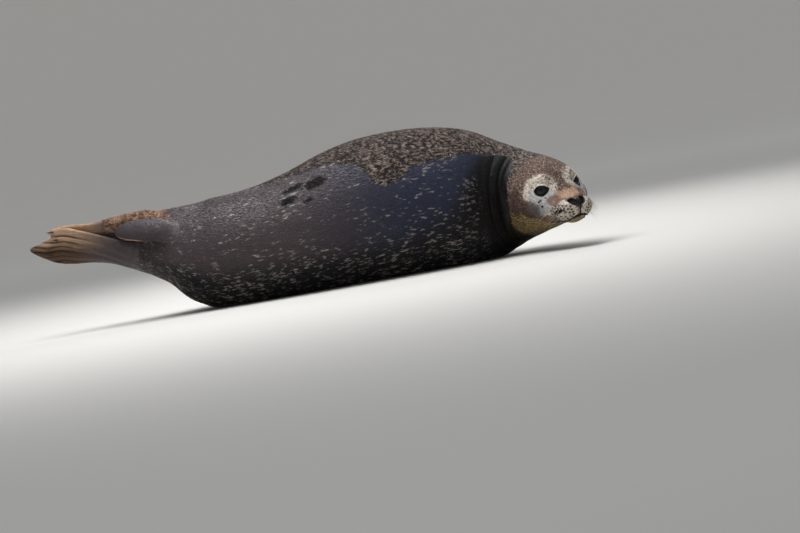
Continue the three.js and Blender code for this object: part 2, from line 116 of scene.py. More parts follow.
# Groups of digits that run past the web: middle across it, length, spread before and after.
HIND_LOBES = [(-0.85, 0.034, 0.2, 0.2), (0.15, 0.062, 0.5, 0.62)]
FAR_FLIPPER_SHARE = 0.7

# Tail: x, y, z, normal, width, thickness.
TAIL_LINE = [
    (-0.515, -0.058, 0.205, 0.25, -0.88, 0.40, 0.0, 0.0),
    (-0.560, -0.074, 0.216, 0.10, -0.88, 0.44, 0.030, 0.017),
    (-0.600, -0.072, 0.224, -0.12, -0.87, 0.46, 0.031, 0.013),
    (-0.640, -0.058, 0.229, -0.20, -0.87, 0.46, 0.027, 0.010),
    (-0.668, -0.048, 0.231, -0.20, -0.87, 0.46, 0.018, 0.008),
    (-0.682, -0.044, 0.232, -0.20, -0.87, 0.46, 0.0, 0.0),
]
# Left foreflipper, along the far flank: place along and round the body, height off it, sizes.
LEFT_FLIPPER_LINE = [
    (11.2, 22, -0.016, 0.0, 0.0),
    (11.55, 16, -0.004, 0.031, 0.017),
    (12.1, 8, 0.008, 0.034, 0.013),
    (12.65, 0, 0.012, 0.038, 0.010),
    (13.2, -8, 0.012, 0.037, 0.007),
    (13.5, -12, 0.012, 0.0, 0.0),
]
# Right foreflipper, on the floor on the far side: x, y, z, width, thickness.
RIGHT_FLIPPER_LINE = [
    (0.196, 0.062, 0.044, 0.0, 0.0),
    (0.188, 0.098, 0.034, 0.032, 0.018),
    (0.176, 0.138, 0.020, 0.035, 0.015),
    (0.160, 0.180, 0.011, 0.038, 0.010),
    (0.140, 0.218, 0.007, 0.037, 0.008),
    (0.130, 0.234, 0.006, 0.0, 0.0),
]
# How high the digits' ridges stand, as a part of the thickness, and half the breadth.
HIND_WEB = {"ridge": 0.3, "breadth": 0.048}
FORE_WEB = {"ridge": 0.28, "breadth": 0.038}
TAIL_WEB = {"ridge": 0.0, "breadth": 0.033}
FORE_REACH, FORE_SHORT = 0.016, 0.004  # slant of a foreflipper's tip, and how far it is drawn in
# Parts of a limb's length: where its ridges begin and are full, and where its tip runs out.
RIDGE_FROM, RIDGE_FULL, REACH_FROM = 0.2, 0.8, 0.5
DIGITS = 5
OUTER_CLAW = 0.88  # where the outer claws lie, as a part of the half breadth

# Claws: length, root radius, bend of the tip, place along the limb, part sunk in the digit.
FORE_CLAW = (0.030, 0.0045, 0.007, 0.86, 0.25)
HIND_CLAW = (0.014, 0.0026, 0.003, 0.82, 0.3)

# The eyes: ball radius, opening's middle, how far behind it the ball's centre is, and its aim.
EYE_RADIUS = 0.020
EYE_OPENING = np.array([0.003, 0.050, 0.003])
EYE_DEPTH = 0.013
EYE_OUTWARD, EYE_UPWARD = np.radians([35, 12])


def smooth(x, low, high):
    share = np.clip((x - low) / (high - low), 0.0, 1.0)
    return share * share * (3 - 2 * share)


def bump(distance, half_width):
    return np.exp(-((distance / half_width) ** 2))


def unit(vectors):
    return vectors / np.maximum(np.linalg.norm(vectors, axis=-1, keepdims=True), 1e-12)


def through(values, t):
    """A smooth curve through evenly numbered values (Catmull-Rom)."""
    values = np.asarray(values, float)
    last = len(values) - 1
    i = np.clip(np.floor(t).astype(int), 0, last - 1)
    f = t - i
    a, b, c, d = (values[np.clip(i + k, 0, last)] for k in (-1, 0, 1, 2))
    return b + 0.5 * f * (c - a + f * (2 * a - 5 * b + 4 * c - d + f * (3 * (b - c) + d - a)))


def curve(rows, t):
    """A smooth curve through evenly numbered points."""
    return np.stack([through(rows[:, k], t) for k in range(3)], -1)


def size_through(values, t):
    """Sizes are carried as squares, which rounds off an end that closes to nothing."""
    return np.sqrt(np.maximum(0.0, through(np.square(values), t)))


def facing(heading, pitch, roll):
    """Forward, left and up of what faces along a heading, pitched up and rolled."""
    heading, pitch, roll = np.broadcast_arrays(heading, pitch, roll)
    forward = np.stack(
        [np.cos(pitch) * np.cos(heading), np.cos(pitch) * np.sin(heading), np.sin(pitch)], -1
    )
    level = np.stack([-np.sin(heading), np.cos(heading), 0 * heading], -1)
    upright = np.cross(forward, level)
    left = level * np.cos(roll)[..., None] + upright * np.sin(roll)[..., None]
    return forward, left, np.cross(forward, left)


HEAD_AXES = np.array(facing(HEAD_HEADING, HEAD_PITCH, HEAD_ROLL))


def from_head(points):
    return EYES_MIDDLE + np.asarray(points) @ HEAD_AXES


def to_head(points):
    return (np.asarray(points) - EYES_MIDDLE) @ HEAD_AXES.T


def settle(points):
    """Flattens what would sink into the floor."""
    z = points[..., 2]
    rolled = (z + FLOOR_ROLL) ** 2 / (4 * FLOOR_ROLL)
    points[..., 2] = np.where(z < -FLOOR_ROLL, 0.0, np.where(z < FLOOR_ROLL, rolled, z))
    return points


def body_sections():
    """Every cross-section: x, y, z, heading, pitch, roll, above, below, half width."""
    rows = []
    for forward, top, bottom, width in HEAD_SECTIONS:
        centre = from_head((forward, 0.0, (top + bottom) / 2))
        half = (top - bottom) / 2
        rows.append((*centre, HEAD_HEADING, HEAD_PITCH, HEAD_ROLL, half, half, width))
    for x, y, z, heading, pitch, above, below, width in BODY_SECTIONS:
        turn, tilt = math.radians(heading), math.radians(pitch)
        rows.append((x, y, z, turn, tilt, 0.0, above, below, width))
    return np.array(rows)


SECTIONS = body_sections()
RUMP_END = len(SECTIONS) - 1


def section_sizes(t):
    """The body's half heights above and below its middle line, and its half width."""
    return [size_through(SECTIONS[:, k], t) for k in (6, 7, 8)]


def head_swelling(points):
    """How far the head's soft forms push out each point of the head's frame."""
    total = np.zeros_like(points)
    for at, spread, swell in HEAD_FORMS.values():
        for side in (1,) if at[1] == 0 else (1, -1):
            mirror = np.array([1, side, 1])
            offset = (points - np.array(at) * mirror) / np.array(spread)
            total += np.exp(-np.sum(offset**2, -1))[..., None] * np.array(swell) * mirror
    return total


def bend_turn(angle):
    """How far round the neck an angle is from the inside of the bend."""
    return np.abs((angle - BEND_SIDE + np.pi) % (2 * np.pi) - np.pi)


def fold_depth(t, angle):
    """How deep the neck's folds are."""
    turn = bend_turn(angle)
    nearness, strength = bump(turn, BEND_SPREAD), bump(turn, FOLD_SPREAD)
    depth = 0.0
    for along, forward, deep, spread in NECK_FOLDS:
        depth = depth + deep * strength * bump(t - along + forward * nearness, spread)
    return depth


def body_point(t, angle):
    """Points of the body: t counts cross-sections from the nose, angle runs from the left side
    over the top."""
    t, angle = np.broadcast_arrays(np.asarray(t, float), np.asarray(angle, float))
    _, left, up = facing(*(through(SECTIONS[:, k], t) for k in (3, 4, 5)))
    trim = fold_depth(t, angle)
    above, below, width = section_sizes(t)
    height = np.where(np.sin(angle) > 0, above, below) - trim
    points = curve(SECTIONS, t) + left * ((width - trim) * np.cos(angle))[..., None]
    points = points + up * (height * np.sin(angle))[..., None]
    swelling = head_swelling(to_head(points)) @ HEAD_AXES
    points = points + np.where((t < len(HEAD_SECTIONS))[..., None], swelling, 0.0)
    return settle(points)


# ---- limbs ------------------------------------------------------------------------------------


def squared(vectors, axis):
    """Unit vectors turned square to an axis."""
    return unit(vectors - axis * np.sum(vectors * axis, -1, keepdims=True))


def limb_frame(limb, t):
    """The ways along a limb, out of its outer face and across it."""
    step = 0.05
    along = unit(curve(limb["centre"], t + step) - curve(limb["centre"], t - step))
    normal = squared(curve(limb["normal"], t), along)
    return along, normal, np.cross(along, normal)


def limb_across(limb, t, angle):
    """How far across a limb its points are, from -1 to 1 of its breadth."""
    return size_through(limb["width"], t) * np.cos(angle) / limb["breadth"]


def limb_point(limb, t, angle):
    """Points of a flattened loft whose digits stand up as ridges and run past the web."""
    t, angle = np.broadcast_arrays(np.asarray(t, float), np.asarray(angle, float))
    along, normal, across = limb_frame(limb, t)
    v = limb_across(limb, t, angle)
    to_tip = t / limb["last"]
    standing = limb["ridge"] * smooth(to_tip, RIDGE_FROM, RIDGE_FULL)
    digits = 1 + standing * np.cos(np.pi * (v + 1) * (DIGITS - 1))
    thickness = size_through(limb["thickness"], t) * digits
    reach = smooth(to_tip, REACH_FROM, 1.0) ** 2 * limb["reach"](v)
    offset = v * limb["breadth"]
    points = curve(limb["centre"], t) + across * offset[..., None] + along * reach[..., None]
    return settle(points + normal * (thickness * np.sin(angle))[..., None])


def flat_loft(centre, normal, sizes, reach, web, face=1):
    """What a limb is made from. Its outer face is along the normal (1) or against it (-1)."""
    line = {"centre": centre, "normal": normal, "last": len(sizes) - 1}
    sizes = {"width": sizes[:, 0], "thickness": sizes[:, 1]}
    return {**line, **sizes, "reach": reach, "face": face, **web}


def hind_reach(v, share):
    """How far past the last station the digits run, across the flipper."""
    reach = 0.0
    for middle, length, before, after in HIND_LOBES:
        spread = np.where(v > middle, after, before)
        reach = reach + length * bump(v - middle, spread)
    return share * reach


def hind_flipper(side):
    """side is -1 for the near, right flipper and 1 for the far, left one."""
    rows = np.array(HIND_PAIR)
    turn = np.radians(rows[:, 3])
    normal = np.stack([0 * turn, np.sin(turn), np.cos(turn)], -1)
    upward = np.stack([0 * turn, -np.cos(turn), np.sin(turn)], -1)
    centre = rows[:, :3] + side * (normal * rows[:, 6:7] + upward * rows[:, 7:8])
    share = FAR_FLIPPER_SHARE if side > 0 else 1.0
    return flat_loft(centre, normal, rows[:, 4:6], lambda v: hind_reach(v, share), HIND_WEB, side)


def tail_tongue():
    rows = np.array(TAIL_LINE)
    return flat_loft(rows[:, :3], rows[:, 3:6], rows[:, 6:8], lambda v: 0 * v, TAIL_WEB)


def fore_reach(v):
    return FORE_REACH * v - FORE_SHORT


def left_foreflipper():
    rows = np.array(LEFT_FLIPPER_LINE)
    angle = np.radians(rows[:, 1])
    skin = body_point(rows[:, 0], angle)
    normal = unit(skin - curve(SECTIONS, rows[:, 0]))
    return flat_loft(skin + normal * rows[:, 2:3], normal, rows[:, 3:5], fore_reach, FORE_WEB)


def right_foreflipper():
    rows = np.array(RIGHT_FLIPPER_LINE)
    normal = np.tile([0.0, 0.0, 1.0], (len(rows), 1))
    return flat_loft(rows[:, :3], normal, rows[:, 3:5], fore_reach, FORE_WEB)


LIMBS = {
    "hind_flipper_right": hind_flipper(-1),
    "hind_flipper_left": hind_flipper(1),
    "tail": tail_tongue(),
    "foreflipper_right": right_foreflipper(),
    "foreflipper_left": left_foreflipper(),
}


def eye_aim(side):
    lateral = math.cos(EYE_UPWARD) * math.sin(EYE_OUTWARD)
    ahead = math.cos(EYE_UPWARD) * math.cos(EYE_OUTWARD)
    return np.array([ahead, side * lateral, math.sin(EYE_UPWARD)])


def eye_centre(side):
    """The ball's centre in the head's frame."""
    return EYE_OPENING * np.array([1, side, 1]) - EYE_DEPTH * eye_aim(side)


def eye_axes(side):
    """Across the eye, positive towards the nose, and up it, both square to its aim."""
    aim = eye_aim(side)
    up = unit(np.array([0.0, 0.0, 1.0]) - aim[2] * aim)
    return side * np.cross(aim, up), up


# ---- the head's details, in its own frame, for the left side unless they lie on the middle ----

# The lids' opening, in metres along the ball: to the rear, to the nose, half its height, its
# shift towards the rear, and how much it narrows towards the nose.
LID_REAR, LID_NOSE, LID_HALF_HEIGHT = 0.0205, 0.0225, 0.0120
LID_SHIFT = 0.0005
LID_POINTING = 0.75
# Across the lid's edge: distance outside the opening, and height over the ball.
LID_PROFILE = [
    (-0.0018, -0.0026), (-0.0006, -0.0010), (0.0002, 0.0010), (0.0012, 0.0017), (0.0030, 0.0014),
]
LID_POINTED_TO = 1.2  # times LID_NOSE, beyond which the opening narrows no further
LID_BLEND = (0.0022, 0.0150)  # where the lid passes into the face, outside its opening
# Distances from the ball's centre: where the lid passes into the face too, where its dark edge
# ends, and beyond which there is no lid.
LID_REACH = (1.30 * EYE_RADIUS, 2.1 * EYE_RADIUS)
LID_COLOUR = (1.12 * EYE_RADIUS, 1.28 * EYE_RADIUS)
LID_END = 2.2 * EYE_RADIUS
LID_CREASE = (0.0060, 0.0013, 0.0007)  # place, spread and depth

NOSE_MIDDLE = -0.002  # the middle line of the nose lies a little to the right
NOSTRIL = {
    "centre": (0.0142, -0.0156),  # across and up
    "reach": (0.0108, 0.0080),  # half its length and half its height
    "slope": math.radians(10),
    "narrowing": 0.45,  # from its middle to either end
    "depth": 0.0075,
    "behind": 0.055,  # nothing farther back than this is nostril
    "edge": (0.80, 1.06),  # its edge, in parts of its reach
    "dark": (0.05, 0.5),  # painted shade darkens it over these parts of its depth
    "bare": 0.22,  # the furless rim round it, likewise
}
# Lines drawn on the face: points (forward, across, up) that are laid on the skin.
PHILTRUM = [
    (0.097, 0.0, -0.024), (0.094, 0.0, -0.034), (0.092, 0.0, -0.042), (0.090, 0.0, -0.051),
]
MOUTH = [
    (0.090, 0.0, -0.0505), (0.088, 0.010, -0.0520), (0.084, 0.017, -0.0555),
    (0.074, 0.026, -0.0625), (0.062, 0.030, -0.0685), (0.048, 0.031, -0.0728),
    (0.036, 0.032, -0.0755), (0.021, 0.038, -0.0780),
]
PHILTRUM_GROOVE = (0.0012, 0.0016)  # half width and depth
MOUTH_GROOVE = (0.0025, 0.0042)
LINE_DARK, LINE_BARE = 1.7, 1.6  # a line's dark and its furless skin, in its half widths
LIP_SWELL = (0.0050, 0.0030, 0.0012)  # distance over the mouth, spread and height
EAR_HOLE = {"at": (-0.052, 0.080, -0.010), "radius": 0.0030, "depth": 0.0045}

# Rows of whiskers on each pad, from the nose backward: first and last root, and how many.
WHISKER_ROWS = [
    ((0.084, 0.024, -0.0265), (0.055, 0.049, -0.0260), 5),
    ((0.087, 0.024, -0.0325), (0.048, 0.055, -0.0325), 7),
    ((0.088, 0.022, -0.0385), (0.043, 0.057, -0.0400), 8),
    ((0.087, 0.020, -0.0445), (0.044, 0.054, -0.0480), 7),
    ((0.083, 0.022, -0.0500), (0.051, 0.047, -0.0550), 5),
]
BROW_WHISKERS = [(0.006, 0.036, 0.035), (0.012, 0.031, 0.031), (-0.003, 0.040, 0.037)]
WHISKER_ROOT = (0.0019, 0.0007)  # radius and depth of the dimple at a whisker's root

# Dark spots on the face: place, radius, and the side (1 for left, -1 for right, 0 for both).
FACE_SPOTS = [
    ((0.053, 0.051, -0.0450), 0.0044, -1), ((0.060, 0.050, -0.0410), 0.0060, -1),
    ((0.067, 0.048, -0.0375), 0.0056, 0), ((0.073, 0.045, -0.0350), 0.0048, 0),
    ((0.079, 0.041, -0.0330), 0.0036, -1), ((0.093, 0.017, -0.0360), 0.0026, 1),
    ((0.091, 0.024, -0.0300), 0.0026, 1), ((0.092, 0.014, -0.0430), 0.0024, 1),
    ((0.012, 0.062, -0.0200), 0.0032, 0), ((0.010, 0.066, -0.0230), 0.0028, -1),
    ((0.020, 0.052, -0.0130), 0.0026, -1), ((0.022, 0.065, -0.0305), 0.0034, -1),
    ((0.005, 0.035, 0.0345), 0.0018, -1), ((0.005, 0.042, 0.0285), 0.0015, -1),
    ((0.003, 0.022, 0.0350), 0.0026, 1), ((-0.009, 0.058, 0.0160), 0.0024, 1),
    ((0.015, 0.030, 0.0170), 0.0024, 1), ((0.017, 0.025, 0.0125), 0.0022, 1),
    ((0.017, 0.017, 0.0210), 0.0022, 1),
]


def mirrored(point, side):
    """A point given for the left side in the head's frame, on either side of the nose's middle."""
    forward, across, up = point
    return np.array([forward, side * across, up])


def lid_distance(points, side):
    """How far outside the eye's opening points of the head's frame lie, along the ball."""
    across, up = eye_axes(side)
    ray = unit(points - eye_centre(side))
    cosine = np.clip(ray @ eye_aim(side), -1.0, 1.0)
    arc = EYE_RADIUS * np.arccos(cosine)
    flat = unit(np.stack([ray @ across, ray @ up], -1)) * arc[:, None]
    a, b = flat[:, 0] + LID_SHIFT, flat[:, 1]
    length = np.where(a > 0, LID_NOSE, LID_REAR)
    narrowed = b * (1 + LID_POINTING * np.clip(a / LID_NOSE, 0, LID_POINTED_TO) ** 2)
    ratio = np.hypot(a / length, narrowed / LID_HALF_HEIGHT)
    return (ratio - 1) * np.hypot(a, b) / np.maximum(ratio, 1e-6)


def with_lids(points):
    """Lays the skin round each eye on its ball, with a lid's edge, and inside the ball within."""
    points = points.copy()
    for side in (1, -1):
        centre = eye_centre(side)
        offset = points - centre
        radius = np.linalg.norm(offset, axis=-1)
        near = radius < LID_END
        distance = lid_distance(points[near], side)
        place, spread, depth = LID_CREASE
        height = np.interp(distance, *zip(*LID_PROFILE)) - depth * bump(distance - place, spread)
        share = np.maximum(smooth(distance, *LID_BLEND), smooth(radius[near], *LID_REACH))
        target = (EYE_RADIUS + height) * (1 - share) + radius[near] * share
        points[near] = centre + unit(offset[near]) * target[:, None]
    return points


# ---- the skin's mesh --------------------------------------------------------------------------

# Distance between the skin's rings, by place along the body, and how many points go round it.
RING_SPACING = [
    (0.0, 0.0010), (1.5, 0.0011), (3.5, 0.0020), (8.0, 0.0024), (10.3, 0.0030), (11.5, 0.0072),
    (RUMP_END, 0.0072),
]
BODY_SIDES = 188
LIMB_GRIDS = {  # points round a limb, and rings along it
    "hind_flipper_right": (96, 72),
    "hind_flipper_left": (96, 72),
    "tail": (56, 36),
    "foreflipper_right": (72, 44),
    "foreflipper_left": (72, 44),
}
LID_FINE = (0.0040, 0.0120)  # the mesh is twice and once halved this near the edge of the lids
MOUTH_FINE = 0.006  # and once halved this near the mouth's line
LONGEST_BY_EYE = 0.0034  # faces that the lids draw out are halved again until they are this small
JUNCTION_BLEND = 0.024  # where a limb grows from the body, the skin is smoothed over this far
JUNCTION_ROUNDS, JUNCTION_STEP = 30, 0.5
FINE_ROUNDS, EYE_ROUNDS = 2, 3  # rounds of halving, by nearness and then by length
FINE_END = 6.5  # nothing behind this cross-section is near the eyes or the mouth
LINE_SAMPLES = {"mouth": 60, "philtrum": 40, "limb": 60}  # how many points stand for a line

BODY_ARC_SAMPLES = np.linspace(0.0, RUMP_END, 6001)


def body_arc():
    """Distance along the body's surface from the nose to each of BODY_ARC_SAMPLES."""
    angles = np.radians(np.arange(0, 360, 45))
    points = body_point(BODY_ARC_SAMPLES[:, None], angles[None, :])
    steps = np.linalg.norm(np.diff(points, axis=0), axis=-1).mean(1)
    return np.concatenate([[0.0], np.cumsum(steps)])


BODY_ARC = body_arc()


def ring_places():
    """Where the skin's rings lie along the body, closer together where the form is finer."""
    spacing = np.interp(BODY_ARC_SAMPLES, *zip(*RING_SPACING))
    steps = np.diff(BODY_ARC) / ((spacing[1:] + spacing[:-1]) / 2)
    count = np.concatenate([[0.0], np.cumsum(steps)])
    rings = int(count[-1])
    return np.interp(np.arange(1, rings) * count[-1] / rings, count, BODY_ARC_SAMPLES)


def tube(places, sides, end):
    """A closed grid: its points' t and angle, ring by ring with the two ends last, and faces."""
    turns = np.arange(sides) * 2 * np.pi / sides
    t = np.concatenate([np.repeat(places, sides), [0.0, end]])
    angle = np.concatenate([np.tile(turns, len(places)), [0.0, 0.0]])
    side = np.arange(sides)
    after = (side + 1) % sides
    ring = np.arange(len(places) - 1)[:, None] * sides
    quads = np.stack([ring + side, ring + after, ring + sides + after, ring + sides + side], -1)
    start, last = len(t) - 2, (len(places) - 1) * sides
    near_end = [(start, b, a) for a, b in zip(side.tolist(), after.tolist())]
    far_end = [(start + 1, last + a, last + b) for a, b in zip(side.tolist(), after.tolist())]
    return t, angle, quads.reshape(-1, 4).tolist() + near_end + far_end


def mesh_of(name, points, faces):
    mesh = bpy.data.meshes.new(name)
    mesh.from_pydata(points, [], faces)
    bm = bmesh.new()
    bm.from_mesh(mesh)
    if bm.calc_volume(signed=True) < 0:
        bmesh.ops.reverse_faces(bm, faces=bm.faces)
    bm.to_mesh(mesh)
    bm.free()
    return mesh


def put(mesh, name, values):
    """Stores a number or a vector on each point of a mesh."""
    kind, field = ("FLOAT", "value") if values.ndim == 1 else ("FLOAT_VECTOR", "vector")
    attribute = mesh.attributes.get(name) or mesh.attributes.new(name, kind, "POINT")
    attribute.data.foreach_set(field, np.ascontiguousarray(values, dtype=np.float32).ravel())


def read(items, field, shape, kind=np.float32):
    """A field of all the items of one sort that a mesh has."""
    values = np.empty(len(items) * math.prod(shape), kind)
    items.foreach_get(field, values)
    return values.reshape(-1, *shape)


def get(mesh, name):
    return read(mesh.attributes[name].data, "value", ()).astype(float)


def ends_of_edges(mesh):
    return read(mesh.edges, "vertices", (2,), np.int32).T


def points_of(mesh):
    return read(mesh.vertices, "co", (3,)).astype(float)


def set_points(mesh, points):
    mesh.vertices.foreach_set("co", points.astype(np.float32).ravel())
    mesh.update()


def normals_of(mesh):
    return read(mesh.vertex_normals, "vector", (3,)).astype(float)


def object_of(mesh, name):
    piece = bpy.data.objects.new(name, mesh)
    bpy.context.scene.collection.objects.link(piece)
    return piece


def along_line(line, samples):
    """Evenly numbered samples of a smooth line through points."""
    return curve(np.asarray(line), np.linspace(0.0, len(line) - 1, samples))


def to_line(points, line):
    """Each point's distance to the nearest sample of a line."""
    return np.linalg.norm(points[:, None, :] - line[None, :, :], axis=-1).min(1)


def mouth_line():
    """The whole mouth, from the left corner to the right one, in the head's frame."""
    left = along_line(MOUTH, LINE_SAMPLES["mouth"])
    right = left * np.array([1, -1, 1])
    return np.concatenate([left[::-1], right[1:]]) + np.array([0, NOSE_MIDDLE, 0])


def fineness(t, head):
    """How often the mesh is halved at points, given in the head's frame."""
    level = np.zeros(len(head), int)
    face = t < FINE_END
    fine = np.where(to_line(head[face], mouth_line()) < MOUTH_FINE, 1, 0)
    for side in (1, -1):
        near = np.linalg.norm(head[face] - eye_centre(side), axis=-1) < LID_END
        to_lid = np.where(near, np.abs(lid_distance(head[face], side)), 1.0)
        fine = np.maximum(fine, np.where(to_lid < LID_FINE[1], 1, 0))
        fine = np.maximum(fine, np.where(to_lid < LID_FINE[0], 2, 0))
    level[face] = fine
    return level


def drawn_out(head, a, b):
    """Which edges the lids draw out too long. The edges run from points a to points b."""
    laid = with_lids(head)
    moved = np.linalg.norm(laid - head, axis=-1) > 0
    length = np.linalg.norm(laid[a] - laid[b], axis=-1)
    return (length > LONGEST_BY_EYE) & (moved[a] | moved[b])


def halve_edges(mesh, chosen):
    bm = bmesh.new()
    bm.from_mesh(mesh)
    bm.edges.ensure_lookup_table()
    edges = [bm.edges[k] for k in np.flatnonzero(chosen)]
    bmesh.ops.subdivide_edges(bm, edges=edges, cuts=1, use_grid_fill=True)
    bm.to_mesh(mesh)
    bm.free()


def body_skin():
    """The body's skin before the limbs are joined to it: fine round the eyes, nose and mouth."""
    t, angle, faces = tube(ring_places(), BODY_SIDES, RUMP_END)
    mesh = mesh_of("skin", body_point(t, angle), faces)
    put(mesh, "t", t)
    put(mesh, "cosine", np.cos(angle))
    put(mesh, "sine", np.sin(angle))
    for halving in range(FINE_ROUNDS + EYE_ROUNDS):
        head = to_head(points_of(mesh))
        a, b = ends_of_edges(mesh)
        if halving < FINE_ROUNDS:
            level = fineness(get(mesh, "t"), head)
            halve_edges(mesh, np.minimum(level[a], level[b]) > halving)
        else:
            halve_edges(mesh, drawn_out(head, a, b))
        t, angle = get(mesh, "t"), np.arctan2(get(mesh, "sine"), get(mesh, "cosine"))
        set_points(mesh, body_point(t, angle))
    set_points(mesh, from_head(with_lids(to_head(points_of(mesh)))))
    return object_of(mesh, "skin"), t, angle


def limb_skin(name):
    sides, rings = LIMB_GRIDS[name]
    limb = LIMBS[name]
    end = limb["last"]
    # Rings lie closer together at the ends, where the limb closes.
    places = end * (1 - np.cos(np.linspace(0, np.pi, rings + 2)[1:-1])) / 2
    t, angle, faces = tube(places, sides, end)
    return object_of(mesh_of(name, limb_point(limb, t, angle), faces), name), t, angle


def tree_of(points):
    """A tree in which to look for the nearest of some points."""
    tree = KDTree(len(points))
    for index, point in enumerate(points):
        tree.insert(point, index)
    tree.balance()
    return tree


def joined_skin():
    """One mesh of body and limbs, with each point's shell (0 for the body), t and angle."""
    body, t, angle = body_skin()
    sources = [(points_of(body.data), t, angle)]
    limbs = []
    for name in LIMBS:
        limb, t, angle = limb_skin(name)
        sources.append((points_of(limb.data), t, angle))
        limbs.append(limb)
        union = body.modifiers.new(name, "BOOLEAN")
        union.operation = "UNION"
        union.solver = "MANIFOLD"
        union.object = limb
    graph = bpy.context.evaluated_depsgraph_get()
    mesh = bpy.data.meshes.new_from_object(body.evaluated_get(graph))
    for piece in [body, *limbs]:
        bpy.data.objects.remove(piece)
    points, t, angle = (np.concatenate(values) for values in zip(*sources))
    shell = np.concatenate([np.full(len(source[0]), k) for k, source in enumerate(sources)])
    tree = tree_of(points)
    nearest = np.array([tree.find(point)[1] for point in points_of(mesh)])
    return mesh, shell[nearest], t[nearest], angle[nearest]


def smooth_junctions(mesh, shell):
    """Rounds off the creases where limbs grow from the body."""
    a, b = ends_of_edges(mesh)
    meeting = (shell[a] != shell[b]) & ((shell[a] == 0) | (shell[b] == 0))
    points = points_of(mesh)
    at_meeting = np.zeros(len(points), bool)
    at_meeting[a[meeting]] = True
    at_meeting[b[meeting]] = True
    tree = tree_of(points[at_meeting])
    away = np.array([tree.find(point)[2] for point in points])
    weight = JUNCTION_STEP * (1 - smooth(away, 0.0, JUNCTION_BLEND))
    count = len(points)
    degree = np.bincount(a, minlength=count) + np.bincount(b, minlength=count)
    for _ in range(JUNCTION_ROUNDS):
        for k in range(3):
            column = points[:, k]
            total = np.bincount(a, column[b], count) + np.bincount(b, column[a], count)
            points[:, k] = column + weight * (total / np.maximum(degree, 1) - column)
    set_points(mesh, points)


# ---- relief and markings ----------------------------------------------------------------------

# How far the skin lies inside the coat's outline, by place along the body, and on the limbs.
COAT_DEPTH = [(0.0, 0.0005), (5.0, 0.0008), (8.0, 0.0012), (11.0, 0.0018), (RUMP_END, 0.0016)]
LIMB_COAT_DEPTH = 0.0005
ON_FLOOR = 0.0003  # the skin stays this far above the floor
FACES_DOWN, LIES_BELOW = -0.2, (0.001, 0.010)  # the underside's normals, and where it lies down

# Pleats along a hind flipper: place across it, depth, and half width as a part of its breadth.
HIND_PLEATS = [
    (-0.60, 0.0085, 0.080),
    (-0.27, 0.0028, 0.045),
    (-0.02, 0.0034, 0.045),
    (0.24, 0.0028, 0.045),
    (0.50, 0.0030, 0.045),
    (0.76, 0.0022, 0.045),
]
FORE_PLEATS = [(v, 0.0014, 0.06) for v in (-0.75, -0.25, 0.25, 0.75)]

# The lower edge of the dry fur on the back: place along the body and degrees round it.
DRY_EDGE = [
    (0.0, 178), (7.4, 178), (8.0, 150), (8.4, 119), (9.0, 114), (9.5, 118), (9.85, 124),
    (10.4, 131), (11.3, 140), (12.2, 144), (13.1, 147), (13.5, 155), (14.0, 159), (14.45, 155),
    (14.8, 137), (15.4, 129), (15.85, 121), (16.5, 117), (17.2, 108), (17.9, 101), (18.4, 88),
    (RUMP_END, 84),
]
DRY_FAR_EDGE = 46  # degrees round the body where the dry fur ends on the far side
# Small dry patches below it: place along and round (degrees), and half their lengths.
DRY_PATCHES = [
    (16.23, 137.5, 0.34, 5.0),
    (16.93, 132.5, 0.34, 3.2),
    (17.12, 143.0, 0.26, 3.4),
    (16.52, 150.5, 0.16, 1.8),
]
DRY_FADE = 0.020  # the field of dryness falls from one to nothing over twice this

# Patches of colour on the face, mirrored in its middle line: middle and half sizes (forward,
# across, up).
FACE_MIDDLE = -0.006
PALE_PATCHES = [
    ((0.000, 0.052, 0.004), (0.040, 0.050, 0.040)),
    ((0.072, 0.026, -0.038), (0.034, 0.030, 0.025)),
    ((0.030, 0.052, -0.030), (0.030, 0.026, 0.024)),
]
GREY_PATCHES = [
    ((0.018, 0.056, -0.014), (0.036, 0.036, 0.030)),
    ((0.010, 0.064, -0.036), (0.028, 0.030, 0.022)),
]
RUDDY_PATCHES = [
    ((0.044, 0.039, -0.015), (0.018, 0.018, 0.013)),
    ((0.018, 0.046, -0.070), (0.020, 0.014, 0.011)),
]
TAN_PATCHES = [
    ((0.058, 0.0, 0.000), (0.019, 0.024, 0.012)),
    ((0.050, 0.021, -0.001), (0.018, 0.010, 0.011)),
]
SEPTUM = ((0.088, 0.002, -0.019), (0.014, 0.011, 0.012))
CHEEK_PATCHES = [
    ((-0.010, 0.080, -0.043), (0.037, 0.030, 0.025)),
    ((-0.066, 0.088, -0.036), (0.020, 0.030, 0.040)),
]
GOLD_PATCHES = [
    ((-0.050, 0.044, -0.106), (0.078, 0.066, 0.056)),
    ((0.078, 0.0, -0.072), (0.024, 0.022, 0.014)),
]
CROWN_END = (7.2, 8.2)  # where the head's brown passes into the neck
FACE_RELIEF_END, FACE_COLOUR_END = 8.0, 9.5  # the face's details and patches end before these

REAR_FADE = (13.0, 17.6)  # where the wet fur, with its painted bluish sheen, passes into the browner rear
# Where the lower flank's dark fur and painted shade begin: place along and degrees round the body.
LOW_SHADE_EDGE = [
    (0.0, 120), (8.3, 104), (9.4, 110), (10.3, 142), (12.0, 188), (14.0, 206), (17.0, 200),
    (RUMP_END, 196),
]
LOW_FADE = 16  # degrees
LOW_END = (21.0, 24.2)  # it ends over this, before the hind flippers
FLECKS_FROM = (9.0, 12.5)  # the neck has few flecks
NECK_SHADE = (7.5, 8.2, 9.8, 11.2)  # the neck's sides are painted nearly black with shade between these
NECK_DRY, SEPTUM_EDGE = (0.2, 0.7), (0.4, 0.8)  # of the fields for dry fur and for the septum
